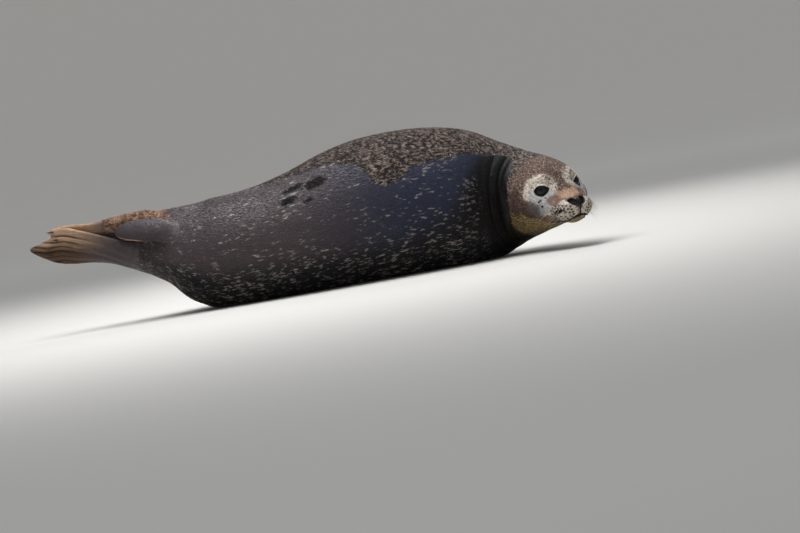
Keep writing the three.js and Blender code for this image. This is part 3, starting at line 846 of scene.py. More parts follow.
# How dark the marks are; the dark of the ear, crease, pleat and neck is painted shade.
DARKNESS = {"line": 1.1, "ear": 0.9, "crease_shade": 0.30, "spot": 0.9, "pleat_shade": 0.85}
DARKNESS.update(neck=0.70, septum=0.75)
ROOT_DOT = 1.8  # the dark dot at a whisker's root, in radii of its dimple
SPOT_EDGE = (0.6, 1.4)  # a face spot's edge, in its radii
LID_EDGE = (0.0006, 0.0022)  # the lids' dark edge ends over this, outside the opening
LID_CALM = (0.003, 0.008)  # fur and relief begin over this, outside the opening
PLEAT_PART, PLEAT_END = (0.38, 0.72), (0.85, 1.0)  # parts of a limb where they begin and end
# Over which part of its length, from the root, a limb passes from the body's colours to its own.
LIMB_FADE = {
    "hind_flipper_right": (0.36, 0.74),
    "hind_flipper_left": (0.24, 0.58),
    "tail": (0.10, 0.36),
    "foreflipper_right": (0.20, 0.60),
    "foreflipper_left": (0.20, 0.60),
}
# Degrees round the body where the flanks pass into the pale belly, on the near and the far side.
BELLY_EDGE, BELLY_FAR_EDGE = (244, 272), (-30, 30)
# The tufty fur over the tail's root: along X its two ends, and along Z where it begins.
RIDGE_BOX = {"rear": (-0.720, -0.690), "front": (-0.590, -0.500), "low": (0.224, 0.238)}
FOLD_SHADE = (0.08, 0.62)  # a fold's painted shade deepens over these parts of its depth
TAIL_RIM = {"power": 14, "tip": (0.95, 1.0), "from": (0.3, 0.6)}  # the tail's pale rim


def laid_on(skin, points):
    """The skin's nearest points to some, all in the head's frame."""
    found = [skin.closest_point_on_mesh(Vector(p))[1] for p in from_head(points)]
    return to_head(np.array([tuple(p) for p in found]))


def whisker_roots(skin):
    """The roots of the whiskers on both sides, laid on the skin, in the head's frame."""
    roots = []
    for side in (1, -1):
        for first, last, count in WHISKER_ROWS:
            share = np.linspace(0, 1, count)[:, None]
            line = mirrored(first, side) * (1 - share) + mirrored(last, side) * share
            roots.extend(line)
        roots.extend(mirrored(point, side) for point in BROW_WHISKERS)
    return laid_on(skin, np.array(roots))


def nostril_mask(head, side, margin):
    """One inside a nostril: a teardrop, broad beside the middle and narrow outward."""
    across = side * (head[:, 1] - NOSE_MIDDLE) - NOSTRIL["centre"][0]
    up = head[:, 2] - NOSTRIL["centre"][1]
    cosine, sine = math.cos(NOSTRIL["slope"]), math.sin(NOSTRIL["slope"])
    outward = (across * cosine + up * sine) / NOSTRIL["reach"][0]
    height = NOSTRIL["reach"][1] * (1 - NOSTRIL["narrowing"] * np.clip(outward, -1, 1))
    over = (up * cosine - across * sine) / height
    size = np.hypot(outward, over) - margin
    return (1 - smooth(size, *NOSTRIL["edge"])) * (head[:, 0] > NOSTRIL["behind"])


def away_from(skin, head, place, side):
    """How far points are from a place on one side of the face."""
    spot = laid_on(skin, mirrored(place, side)[None])[0]
    return np.linalg.norm(head - spot, axis=-1)


def line_details(skin, head):
    """The grooves under the nose and along the mouth, and the swelling of the upper lip."""
    middle = np.array([0, NOSE_MIDDLE, 0])
    philtrum = laid_on(skin, along_line(PHILTRUM, LINE_SAMPLES["philtrum"]) + middle)
    mouth = laid_on(skin, mouth_line())
    for line, (width, deep) in ((philtrum, PHILTRUM_GROOVE), (mouth, MOUTH_GROOVE)):
        distance = to_line(head, line)
        dark = DARKNESS["line"] * bump(distance, LINE_DARK * width)
        yield deep * bump(distance, width), dark, distance < LINE_BARE * width
    place, spread, height = LIP_SWELL
    above = head[:, 2] > mouth[:, 2].min()
    swell = height * bump(to_line(head, mouth) - place, spread) * above
    yield -swell, 0 * swell, 0 * swell


def side_details(skin, head, side):
    """The nostril, ear, lid edge and lid crease of one side; pits and crease get painted shade."""
    none = np.zeros(len(head))
    nostril = nostril_mask(head, side, 0.0)
    rim = nostril_mask(head, side, NOSTRIL["bare"])
    # The nostril's dark is painted shade, deepening with its depth.
    yield NOSTRIL["depth"] * nostril, smooth(nostril, *NOSTRIL["dark"]), rim
    # The ear hole's dark is painted shade.
    ear = bump(away_from(skin, head, EAR_HOLE["at"], side), EAR_HOLE["radius"])
    yield EAR_HOLE["depth"] * ear, DARKNESS["ear"] * ear, none
    outside, close = from_lids(head, side)
    yield none, close * (1 - smooth(outside, *LID_EDGE)), none
    # Painted shade in the lid's crease above the eye.
    crease_shade = bump(outside - LID_CREASE[0], LID_CREASE[1]) * (head[:, 2] > eye_centre(side)[2])
    yield none, DARKNESS["crease_shade"] * crease_shade * close, none


def spot_details(skin, head, roots):
    """The dimples with the whiskers' roots, and the face's dark spots."""
    none = np.zeros(len(head))
    to_root = to_line(head, roots)
    radius, deep = WHISKER_ROOT
    yield deep * bump(to_root, radius), bump(to_root, ROOT_DOT * radius), none
    for place, radius, only in FACE_SPOTS:
        for side in (1, -1) if only == 0 else (only,):
            away = away_from(skin, head, place, side) / radius
            yield none, DARKNESS["spot"] * (1 - smooth(away, *SPOT_EDGE)), none


def face_relief(skin, head, roots):
    """How deep the face's grooves and pits go at points of the head's frame, how dark they are,
    and where no fur grows."""
    details = [*line_details(skin, head), *spot_details(skin, head, roots)]
    for side in (1, -1):
        details.extend(side_details(skin, head, side))
    depths, darks, bares = (np.array(values) for values in zip(*details))
    return depths.sum(0), darks.max(0), bares.max(0)


def from_lids(head, side):
    """How far outside the eye's opening points lie, and one on the ball, nothing off it."""
    radius = np.linalg.norm(head - eye_centre(side), axis=-1)
    return lid_distance(head, side), 1 - smooth(radius, *LID_COLOUR)


def near_lids(head):
    """One on the lids and inside the eyes, falling to nothing over the face."""
    nearness = np.zeros(len(head))
    for side in (1, -1):
        distance, close = from_lids(head, side)
        nearness = np.maximum(nearness, close * (1 - smooth(distance, *LID_CALM)))
    return nearness


def pleat_relief(name, t, angle):
    """How deep the pleats between a flipper's digits are, and their painted shade."""
    limb = LIMBS[name]
    pleats = HIND_PLEATS if name.startswith("hind") else FORE_PLEATS
    v = limb_across(limb, t, angle)
    to_tip = t / limb["last"]
    strength = smooth(to_tip, *PLEAT_PART) * np.abs(np.sin(angle))
    depth, dark = np.zeros((2, len(t)))
    for at, deep, width in pleats:
        line = bump(v - at, width) * strength
        depth += deep * line * (1 - smooth(to_tip, *PLEAT_END))
        # Painted shade in the pleats.
        dark = np.maximum(dark, line)
    return depth, DARKNESS["pleat_shade"] * dark


def blob(head, place, sizes):
    """A field that is above a half inside an ellipsoid of the head's frame and its mirror."""
    field = np.zeros(len(head))
    for side in (1, -1):
        middle = mirrored(place, side) + np.array([0.0, FACE_MIDDLE, 0.0])
        offset = (head - middle) / np.array(sizes)
        field = np.maximum(field, 1.0 - 0.5 * np.linalg.norm(offset, axis=-1) ** 2)
    return np.clip(field, 0.0, 1.0)


def blobs(head, patches):
    return np.maximum.reduce([blob(head, *patch) for patch in patches])


def round_body(angle):
    """An angle round the body in degrees, from -90 at the belly to 270."""
    return (np.degrees(angle) + 90) % 360 - 90


def dryness(t, angle, girth):
    """A field that is above a half where the fur is dry."""
    degrees = round_body(angle)
    to_metres = np.radians(1.0) * girth
    inside = (np.interp(t, *zip(*DRY_EDGE)) - degrees) * to_metres
    inside = np.minimum(inside, (degrees - DRY_FAR_EDGE) * to_metres)
    field = 0.5 + inside / (2 * DRY_FADE)
    return np.clip(np.maximum(field, tufty_patches(t, angle)), 0.0, 1.0)


def tufty_patches(t, angle):
    """A field that is above a half in the small dry patches."""
    degrees = round_body(angle)
    field = np.zeros(len(t))
    for along, turn, length, breadth in DRY_PATCHES:
        offset = np.hypot((t - along) / length, (degrees - turn) / breadth)
        field = np.maximum(field, 1.0 - 0.5 * offset)
    return field


def girth_at(t):
    """The mean radius of the body."""
    above, below, width = section_sizes(t)
    return ((above + below) / 2 + width) / 2


# Over this length the fur's pattern passes from the head's frame to the tube.
HEAD_STRAIGHT = (5.0, 8.0)
LIMB_PATTERN_APART = 2.0  # metres between the limbs' places in the pattern
LIMB_PATTERN_DEPTH = 0.02  # of a limb's two faces in the pattern


def straightened(shell, t, angle, head):
    """Places for the fur's pattern, as if the body were a straight tube along X."""
    girth = girth_at(t)
    along = np.interp(t, BODY_ARC_SAMPLES, BODY_ARC)
    places = np.stack([along, girth * np.cos(angle), girth * np.sin(angle)], -1)
    middle = sum(HEAD_STRAIGHT) / 2
    start = np.interp(middle, BODY_ARC_SAMPLES, BODY_ARC)
    forward = to_head(curve(SECTIONS, np.array([middle])))
    in_head = np.stack([start + forward[0, 0] - head[:, 0], head[:, 1], head[:, 2]], -1)
    share = smooth(t, *HEAD_STRAIGHT)[:, None]
    places = in_head * (1 - share) + places * share
    for number, limb in enumerate(LIMBS.values(), start=1):
        own = shell == number
        samples = np.linspace(0, limb["last"], LINE_SAMPLES["limb"])
        steps = np.linalg.norm(np.diff(curve(limb["centre"], samples), axis=0), axis=-1)
        along = np.interp(t[own], samples, np.concatenate([[0.0], np.cumsum(steps)]))
        across = limb_across(limb, t[own], angle[own]) * limb["breadth"]
        face = LIMB_PATTERN_DEPTH * np.sin(angle[own])
        places[own] = np.stack([along + LIMB_PATTERN_APART * number, across, face], -1)
    return places


def lie_of(shell, t, angle):
    """The way the coat lies: from the nose backward, and towards the tips of the limbs."""
    step = 0.02
    lie = body_point(t + step, angle) - body_point(np.maximum(t - step, 0.0), angle)
    for number, limb in enumerate(LIMBS.values(), start=1):
        own = shell == number
        ahead = limb_point(limb, t[own] + step, angle[own])
        lie[own] = ahead - limb_point(limb, t[own] - step, angle[own])
    return unit(lie)


# The unwrap: the head is given more room than its length, and the limbs have cells of their own.
UV_MAP = "OFBake"
HEAD_ROOM, HEAD_ROOM_END = 2.0, 9.0
BODY_CELL = {"left": 0.01, "width": 0.98, "low": 0.005, "high": 0.73}
LIMB_CELL = {"width": 0.2, "low": 0.77, "high": 0.22, "margin": 0.006}
LIMB_CELL_INSIDE = {side: LIMB_CELL[side] - 2 * LIMB_CELL["margin"] for side in ("width", "high")}


def unwrapped(shell, t, angle):
    """Each point's place on the unwrap of the skin, cut along the belly."""
    head_end = np.interp(HEAD_ROOM_END, BODY_ARC_SAMPLES, BODY_ARC)
    room = BODY_ARC + (HEAD_ROOM - 1) * np.minimum(BODY_ARC, head_end)
    u = BODY_CELL["left"] + BODY_CELL["width"] * np.interp(t, BODY_ARC_SAMPLES, room / room[-1])
    turn = ((angle + np.pi / 2) % (2 * np.pi)) / (2 * np.pi)
    v = BODY_CELL["low"] + BODY_CELL["high"] * turn
    for number, limb in enumerate(LIMBS.values()):
        own = shell == number + 1
        left = number * LIMB_CELL["width"] + LIMB_CELL["margin"]
        low = LIMB_CELL["low"] + LIMB_CELL["margin"]
        u[own] = left + LIMB_CELL_INSIDE["width"] * t[own] / limb["last"]
        v[own] = low + LIMB_CELL_INSIDE["high"] * turn[own]
    return np.stack([u, v], -1)


def darkened(dark, t, angle, head, dry):
    """Adds to the dark the painted shade of the neck's folds and sides, and the nose's septum."""
    # Painted shade in the neck's folds and on its sides.
    folds = fold_depth(t, angle) / NECK_FOLDS[1][2]
    neck = smooth(t, *NECK_SHADE[:2]) * (1 - smooth(t, *NECK_SHADE[2:]))
    neck *= 1 - smooth(dry, *NECK_DRY)
    septum = (t < FACE_COLOUR_END) * smooth(blob(head, *SEPTUM), *SEPTUM_EDGE)
    added = [smooth(folds, *FOLD_SHADE), DARKNESS["neck"] * neck, DARKNESS["septum"] * septum]
    return np.maximum.reduce([dark, *added])


def ridge_field(points):
    """One on the tufty fur over the tail's root."""
    ridge = smooth(points[:, 2], *RIDGE_BOX["low"])
    ridge *= smooth(points[:, 0], *RIDGE_BOX["rear"])
    return ridge * (1 - smooth(points[:, 0], *RIDGE_BOX["front"]))


# The fields' names, in the order in which markings gives them.
FIELDS = ("marks", "tones", "zones", "hues", "parts", "spots")


def shell_of(name):
    """The number of a limb's shell. The body's is 0."""
    return 1 + list(LIMBS).index(name)


def limb_fields(shell, t, angle, tipward):
    """Where a limb has its own colours, where the tail is, and where its pale rim is."""
    fades = np.array([(0.0, 1.0)] + [LIMB_FADE[name] for name in LIMBS])[shell]
    limb = np.where(shell == 0, 0.0, smooth(tipward, fades[:, 0], fades[:, 1]))
    tail = shell == shell_of("tail")
    rim = np.abs(np.cos(angle)) ** TAIL_RIM["power"]
    rim = np.maximum(rim, smooth(tipward, *TAIL_RIM["tip"])) * smooth(tipward, *TAIL_RIM["from"])
    return limb, 1.0 * tail, np.where(tail, rim, 0.0)


def markings(shell, t, angle, points, head, dark):
    """The fields from which the skin's and the coat's colours are mixed, three to a name."""
    body = shell == 0
    face = body * (t < FACE_COLOUR_END)
    degrees = round_body(angle)
    dry = np.where(body, dryness(t, angle, girth_at(t)), 0.0)
    patch = np.where(body, np.clip(tufty_patches(t, angle), 0.0, 1.0), 0.0)
    rear = np.where(body, smooth(t, *REAR_FADE), 1.0)
    crown = np.where(body, 1 - smooth(t, *CROWN_END), 0.0)
    # The low flank's dark is partly painted shade.
    edge = np.interp(t, *zip(*LOW_SHADE_EDGE))
    low = smooth(degrees - edge, -LOW_FADE, LOW_FADE) * body * (1 - smooth(t, *LOW_END))
    belly = np.maximum(1 - smooth(degrees, *BELLY_FAR_EDGE), smooth(degrees, *BELLY_EDGE)) * body
    dark = np.where(body, darkened(dark, t, angle, head, dry), dark)
    smooth_furred = (shell == shell_of("tail")) | (shell == shell_of("hind_flipper_right"))
    ridge = np.where(smooth_furred, 0.0, ridge_field(points))
    lasts = np.array([RUMP_END] + [limb["last"] for limb in LIMBS.values()])
    tipward = np.where(body, 1 - smooth(t, *FLECKS_FROM), t / lasts[shell])
    limb, tail, rim = limb_fields(shell, t, angle, tipward)
    patches = (PALE_PATCHES, GOLD_PATCHES, RUDDY_PATCHES, GREY_PATCHES, TAN_PATCHES, CHEEK_PATCHES)
    pale, gold, ruddy, grey, tan, cheek = (face * blobs(head, some) for some in patches)
    threes = (
        (dry, rear, crown),
        (pale, dark, gold),
        (limb, ridge, low),
        (ruddy, grey, belly),
        (tail, rim, tipward),
        (patch, tan, cheek),
    )
    return {name: np.stack(three, -1) for name, three in zip(FIELDS, threes)}


def relief(skin, shell, t, angle, head, roots):
    """Over the whole skin: the depth of its details, how dark they are, where no fur grows, and
    how near the lids are."""
    depth, dark, bare, calm = np.zeros((4, len(t)))
    face = (shell == 0) & (t < FACE_RELIEF_END)
    depth[face], dark[face], bare[face] = face_relief(skin, head[face], roots)
    calm[face] = near_lids(head[face])
    for name in LIMBS:
        if name != "tail":
            own = shell == shell_of(name)
            depth[own], dark[own] = pleat_relief(name, t[own], angle[own])
    return depth * (1 - calm), dark, np.maximum(calm, bare), calm


def finish_skin():
    """The whole skin as one piece, and what the coat needs to know about each of its points."""
    mesh, shell, t, angle = joined_skin()
    smooth_junctions(mesh, shell)
    skin = object_of(mesh, "skin")
    points, normals = points_of(mesh), normals_of(mesh)
    head = to_head(points)
    roots = whisker_roots(skin)
    depth, dark, bare, calm = relief(skin, shell, t, angle, head, roots)
    inset = np.where(shell == 0, np.interp(t, *zip(*COAT_DEPTH)), LIMB_COAT_DEPTH) * (1 - calm)
    # The underside is not inset where it lies on the floor.
    lying = np.where(normals[:, 2] < FACES_DOWN, 1 - smooth(points[:, 2], *LIES_BELOW), 0.0)
    inset = inset * (1 - lying)
    points = points - normals * (depth + inset)[:, None]
    points[:, 2] = np.maximum(points[:, 2], ON_FLOOR)
    set_points(mesh, points)
    fields = {"straight": straightened(shell, t, angle, head)}
    fields.update(markings(shell, t, angle, points, head, dark))
    for name, values in fields.items():
        put(mesh, name, values)
    for name in ("t", "sine", "cosine"):
        mesh.attributes.remove(mesh.attributes[name])
    mesh.polygons.foreach_set("use_smooth", [True] * len(mesh.polygons))
    mesh.polygons.foreach_set("material_index", [0] * len(mesh.polygons))
    uv = unwrapped(shell, t, angle)
    unwrap_skin(mesh, shell, uv)
    facts = {"shell": shell, "t": t, "fields": fields, "lie": lie_of(shell, t, angle)}
    return skin, {**facts, "bare": bare, "roots": roots}


def put_unwrap(mesh, uv):
    layer = mesh.uv_layers.new(name=UV_MAP)
    layer.uv.foreach_set("vector", uv.astype(np.float32).ravel())


def unwrap_skin(mesh, shell, uv):
    """Gives the skin its unwrap. A face over the cut runs past its edge, and a face between
    two shells keeps to the body's side."""
    corners = read(mesh.loops, "vertex_index", (), np.int32)
    starts = read(mesh.polygons, "loop_start", (), np.int32)
    own = uv[corners]
    home = shell[corners]
    low_shell = np.minimum.reduceat(home, starts)
    high_shell = np.maximum.reduceat(home, starts)
    totals = np.diff(np.append(starts, len(corners)))
    face_of = np.repeat(np.arange(len(starts)), totals)
    top = np.maximum.reduceat(own[:, 1], starts)[face_of]
    bottom = np.minimum.reduceat(own[:, 1], starts)[face_of]
    high = np.where(home == 0, BODY_CELL["high"], LIMB_CELL_INSIDE["high"])
    mixed = (low_shell != high_shell)[face_of]
    wraps = (top - bottom > 0.5 * high) & ~mixed & (own[:, 1] < (top + bottom) / 2)
    own[:, 1] = own[:, 1] + np.where(wraps, high, 0.0)
    for face in np.flatnonzero(low_shell != high_shell):
        span = slice(starts[face], starts[face] + totals[face])
        keep = home[span] == low_shell[face]
        own[span][~keep] = own[span][keep].mean(0)
    put_unwrap(mesh, own)


# ---- colours ----------------------------------------------------------------------------------

TONES = {
    # The blue of the wet fur is a painted sheen over its dark colour.
    "wet": "#2a2f41",
    # The near black of the low flank is dark wet fur and painted shade.
    "wet low shaded": "#0f0f12",
    "wet rear": "#4b4245",
    "belly": "#7d7872",
    "fleck": "#b3aaa3",
    "fleck low": "#aaa19d",
    "dry dark": "#1e1816",
    "dry light": "#8b7b72",
    "patch": "#100c0b",
    "flipper": "#bd9b80",
    "flipper base": "#6a5750",
    "flipper low shade": "#5a4432",
    "tail": "#3f373b",
    "tail rim": "#ad9176",
    # The fur over the tail's root is paler, and its tone also holds painted light from above.
    "ridge": "#b3917b",
    "ridge dark": "#694e41",
    "crown": "#745f54",
    "crown dark": "#3a2b27",
    "crown light": "#b3a297",
    "pale": "#d3c8ba",
    "pale shade": "#978e86",
    "grey": "#96989b",
    "ruddy": "#6a4636",
    "tan": "#b4947c",
    "cheek": "#41302a",
    "throat": "#a38f66",
    "throat dark": "#564729",
    "dark": "#0e0b0b",
    "iris": "#15110f",
    "pupil": "#040406",
    "claw": "#1d1815",
    "claw tip": "#4a4038",
    "whisker": "#b5aa9a",
    "floor": "#c2c0bc",
}


def tone(name):
    """A scene-linear colour from its sRGB code."""
    parts = [int(TONES[name][i : i + 2], 16) / 255 for i in (1, 3, 5)]
    linear = [p / 12.92 if p <= 0.04045 else ((p + 0.055) / 1.055) ** 2.4 for p in parts]
    return (*linear, 1.0)


class Paint:
    """One material, with shorthand for making and joining its nodes."""

    def __init__(self, name):
        self.material = bpy.data.materials.new(name)
        self.material.use_nodes = True
        self.tree = self.material.node_tree
        self.shader = self.tree.nodes["Principled BSDF"]

    def join(self, value, socket):
        if isinstance(value, bpy.types.NodeSocket):
            self.tree.links.new(value, socket)
        else:
            socket.default_value = value

    def node(self, kind, inputs, output=0, **settings):
        made = self.tree.nodes.new(kind)
        for setting, value in settings.items():
            setattr(made, setting, value)
        for socket, value in inputs.items():
            self.join(value, made.inputs[socket])
        return made.outputs[output]

    def field(self, name):
        """A vector stored on the mesh."""
        return self.node("ShaderNodeAttribute", {}, "Vector", attribute_name=name)

    def split(self, vector, kind="ShaderNodeSeparateXYZ"):
        parts = self.tree.nodes.new(kind)
        self.join(vector, parts.inputs[0])
        return tuple(parts.outputs)

    def fields(self, name):
        """The three numbers that a vector stored on the mesh holds."""
        return self.split(self.field(name))

    def math(self, operation, *values):
        return self.node("ShaderNodeMath", dict(enumerate(values)), operation=operation)

    def step(self, value, low, high, start=0.0, end=1.0):
        """Runs smoothly from start, where the value is low, to end, where it is high."""
        inputs = {0: value, 1: low, 2: high, 3: start, 4: end}
        return self.node("ShaderNodeMapRange", inputs, interpolation_type="SMOOTHSTEP")

    def mix(self, share, a, b):
        return self.node("ShaderNodeMix", {0: share, 6: a, 7: b}, 2, data_type="RGBA")

    def scaled(self, colour, light):
        return self.node("ShaderNodeVectorMath", {0: colour, 3: light}, operation="SCALE")

    def stretched(self, place, x, y, z):
        inputs = {0: place, 1: (x, y, z)}
        return self.node("ShaderNodeVectorMath", inputs, operation="MULTIPLY")

    def noise(self, place, detail=2.0):
        inputs = {"Vector": place, "Scale": 1.0, "Detail": detail}
        return self.node("ShaderNodeTexNoise", inputs)

    def edged(self, value, ragged, amount, soft):
        """A mask of where a field is above a half, its edge made ragged by a noise and soft."""
        spread = self.math("MULTIPLY_ADD", ragged, amount, -0.5 * amount)
        return self.step(self.math("ADD", value, spread), 0.5 - soft, 0.5 + soft)

    def set(self, **values):
        for name, value in values.items():
            self.join(value, self.shader.inputs[name.replace("_", " ")])


# Sizes of the fur's patterns, along the coat's lie and across it, as cells to a metre.
FLECK_CELLS = ((1 / 0.028, 1 / 0.0066, 1 / 0.0066), (1 / 0.013, 1 / 0.0042, 1 / 0.0042))
STROKES = (1 / 0.012, 1 / 0.0044, 1 / 0.0044)
FINE_STROKES = (1 / 0.0105, 1 / 0.0030, 1 / 0.0030)
RAGGED = (1 / 0.016, 1 / 0.0060, 1 / 0.0060)
BROAD = (1 / 0.075, 1 / 0.055, 1 / 0.055)
HAIRS = (1 / 0.0060, 1 / 0.0009, 1 / 0.0009)
HAIR_BUMP = {"Strength": 0.6, "Distance": 0.0006}
SWIRL_CELLS, FLECK_WARP = 32.0, 0.027  # the flecks' rows are swirled by this noise, this far
# Flecks: how ragged and how sharp they are, how soft the choice of them is, and their strength.
FLECK = {"ragged": 0.5, "edge": (0.54, 0.68), "choice": (-0.03, 0.05), "strength": (0.6, 0.4)}
# How dense the flecks are: everywhere, more on the low and pale parts, less towards the nose and
# the limbs' tips, and from patch to patch.
FLECK_DENSITY = {"all": 0.07, "low": 0.30, "tipward": -0.42, "patchy": 0.9, "less": -0.40}
FLECK_SHARE, BELLY_SHARE = 0.75, 0.75
# Where a noise turns from one tone of the fur into another.
STREAKS = {
    "fine": (0.36, 0.64),
    "dry": (0.50, 0.61),
    "dry light": (0.6, 0.75),
    "crown light": (0.56, 0.72),
    "throat": (0.3, 0.7),
}
DRY_LIGHT_SHARE, CROWN_LIGHT_SHARE = 0.4, 0.6
PATCH_EDGE = (0.25, 0.45)
# How ragged and how soft the edges of the markings are.
EDGES = {
    "dry": (0.8, 0.06),
    "crown": (0.9, 0.25),
    "gold": (0.5, 0.22),
    "pale": (0.5, 0.12),
    "tint": (0.8, 0.28),
    "rim": (0.5, 0.15),
    "ridge": (0.9, 0.15),
    "dark": (0.45, 0.30),
}
TINT_SHARES = {"grey": 0.75, "tan": 0.72, "cheek": 0.80, "ruddy": 0.75}
# The flippers: where their own tones begin, and across them, where the painted low-edge shade is.
FLIPPER_TIP, FLIPPER_RAGGED, FLIPPER_SHADE_EDGE = (0.25, 0.60), 0.03, (-0.015, 0.030)
GRAIN_LIGHT = (0.9, 0.55)  # the fine strokes lighten and darken every tone
WET_ROUGH, DRY_ROUGH = 0.40, 0.75
FUR_SPECULAR = 0.22
# Tufts are painted darker at the root, as shade deep in the coat, and differ a little in
# brightness.
TUFT_ROOT_LIGHT, TUFT_LIT_FROM, TUFT_CHANCE = 0.72, 0.8, (0.42, 0.84)


class Fur(Paint):
    """The seal's fur, coloured from the fields on its mesh. Skin and coat share it."""

    def __init__(self, name):
        super().__init__(name)
        self.dry, self.rear, self.crown = self.fields("marks")
        self.pale, self.dark, self.gold = self.fields("tones")
        self.limb, self.ridge, self.low = self.fields("zones")
        self.ruddy, self.grey, self.belly = self.fields("hues")
        self.tail, self.rim, self.tipward = self.fields("parts")
        self.patch, self.tan, self.cheek = self.fields("spots")
        self.place = self.field("straight")
        self.fine = self.noise(self.stretched(self.place, *FINE_STROKES))
        self.ragged = self.noise(self.stretched(self.place, *RAGGED), 3.0)
        self.broad = self.noise(self.stretched(self.place, *BROAD))
        noise = {"Vector": self.place, "Scale": SWIRL_CELLS, "Detail": 1.0}
        swirl = self.node("ShaderNodeTexNoise", noise, "Color")
        warp = {0: swirl, 1: (FLECK_WARP,) * 3, 2: self.place}
        self.warped = self.node("ShaderNodeVectorMath", warp, operation="MULTIPLY_ADD")
        self.is_dry = self.marked("dry")
        self.is_ridge = self.marked("ridge")

    def marked(self, name, kind=None):
        """The mask of a marking, with the ragged edge of its kind."""
        return self.edged(getattr(self, name), self.ragged, *EDGES[kind or name])

    def streaked(self, noise, streak, low, high):
        """Two tones, turned one into the other by a noise."""
        return self.mix(self.step(noise, *STREAKS[streak]), tone(low), tone(high))

    def part(self, mask, share):
        return self.math("MULTIPLY", mask, share)

    def fleck_field(self, cells, density):
        """Flecks: one to a cell of a Voronoi pattern, in as many cells as the density says."""
        pattern = self.tree.nodes.new("ShaderNodeTexVoronoi")
        self.join(self.stretched(self.warped, *cells), pattern.inputs["Vector"])
        pattern.inputs["Scale"].default_value = 1.0
        size = self.math("MULTIPLY_ADD", self.ragged, FLECK["ragged"], pattern.outputs["Distance"])
        near = self.step(size, *FLECK["edge"], 1.0, 0.0)
        chance, vigour, _ = self.split(pattern.outputs["Color"], "ShaderNodeSeparateColor")
        chosen = self.step(self.math("SUBTRACT", density, chance), *FLECK["choice"])
        strength = self.math("MULTIPLY_ADD", vigour, *FLECK["strength"])
        return self.part(near, self.part(chosen, strength))

    def flecks(self):
        paler = self.math("MAXIMUM", self.low, self.belly)
        density = self.math("MULTIPLY_ADD", paler, FLECK_DENSITY["low"], FLECK_DENSITY["all"])
        density = self.math("MULTIPLY_ADD", self.tipward, FLECK_DENSITY["tipward"], density)
        density = self.math("ADD", density, FLECK_DENSITY["less"])
        density = self.math("MULTIPLY_ADD", self.broad, FLECK_DENSITY["patchy"], density)
        return self.math("MAXIMUM", *(self.fleck_field(cells, density) for cells in FLECK_CELLS))

    def wet_colour(self):
        mix = self.mix
        # The wet tone carries a painted bluish sheen.
        wet = mix(self.rear, tone("wet"), tone("wet rear"))
        wet = mix(self.low, wet, tone("wet low shaded"))
        wet = mix(self.part(self.belly, BELLY_SHARE), wet, tone("belly"))
        bright = mix(self.low, tone("fleck"), tone("fleck low"))
        return mix(self.part(self.flecks(), FLECK_SHARE), wet, bright)

    def dry_colour(self):
        strokes = self.noise(self.stretched(self.warped, *STROKES))
        dried = self.streaked(strokes, "dry", "dry dark", "dry light")
        light = self.part(self.step(self.fine, *STREAKS["dry light"]), DRY_LIGHT_SHARE)
        dried = self.mix(light, dried, tone("fleck"))
        return self.mix(self.step(self.patch, *PATCH_EDGE), dried, tone("patch"))

    def with_head(self, colour):
        """Lays the head's colours over the body's."""
        head = self.streaked(self.fine, "fine", "crown dark", "crown")
        light = self.part(self.step(self.fine, *STREAKS["crown light"]), CROWN_LIGHT_SHARE)
        head = self.mix(light, head, tone("crown light"))
        colour = self.mix(self.marked("crown"), colour, head)
        golden = self.streaked(self.fine, "throat", "throat dark", "throat")
        colour = self.mix(self.marked("gold"), colour, golden)
        whitish = self.streaked(self.fine, "fine", "pale shade", "pale")
        colour = self.mix(self.marked("pale"), colour, whitish)
        for name, share in TINT_SHARES.items():
            colour = self.mix(self.part(self.marked(name, "tint"), share), colour, tone(name))
        return colour

    def with_limbs(self, colour):
        """Lays the colours of the flippers, the tail and the fur over its root over the body's."""
        _, across, _ = self.split(self.place)
        side = self.math("MULTIPLY_ADD", self.ragged, FLIPPER_RAGGED, across)
        # The flipper's low side is painted darker, as shade.
        edge = self.step(side, *FLIPPER_SHADE_EDGE)
        tip_tone = self.mix(edge, tone("flipper"), tone("flipper low shade"))
        flesh = self.mix(self.step(self.tipward, *FLIPPER_TIP), tone("flipper base"), tip_tone)
        rim = self.edged(self.rim, self.fine, *EDGES["rim"])
        rimmed = self.mix(rim, tone("tail"), tone("tail rim"))
        colour = self.mix(self.limb, colour, self.mix(self.tail, flesh, rimmed))
        tufty = self.streaked(self.fine, "fine", "ridge dark", "ridge")
        return self.mix(self.is_ridge, colour, tufty)

    def colour(self):
        colour = self.mix(self.is_dry, self.wet_colour(), self.dry_colour())
        colour = self.with_limbs(self.with_head(colour))
        # The dark marks: real spots and lines, and painted shade on the neck, in folds, creases,
        # nostrils, ear holes and pleats.
        dark = self.edged(self.dark, self.fine, *EDGES["dark"])
        colour = self.mix(dark, colour, tone("dark"))
        return self.scaled(colour, self.math("MULTIPLY_ADD", self.fine, *GRAIN_LIGHT))

    def roughness(self):
        furry = self.math("MAXIMUM", self.is_dry, self.math("MAXIMUM", self.is_ridge, self.crown))
        return self.step(furry, 0.0, 1.0, WET_ROUGH, DRY_ROUGH)


def skin_paint():
    fur = Fur("skin_fur")
    hairs = fur.noise(fur.stretched(fur.place, *HAIRS), 3.0)
    bumps = fur.node("ShaderNodeBump", {"Height": hairs, **HAIR_BUMP})
    fur.set(Base_Color=fur.colour(), Roughness=fur.roughness(), Normal=bumps)
    fur.set(Specular_IOR_Level=FUR_SPECULAR)
    return fur.material


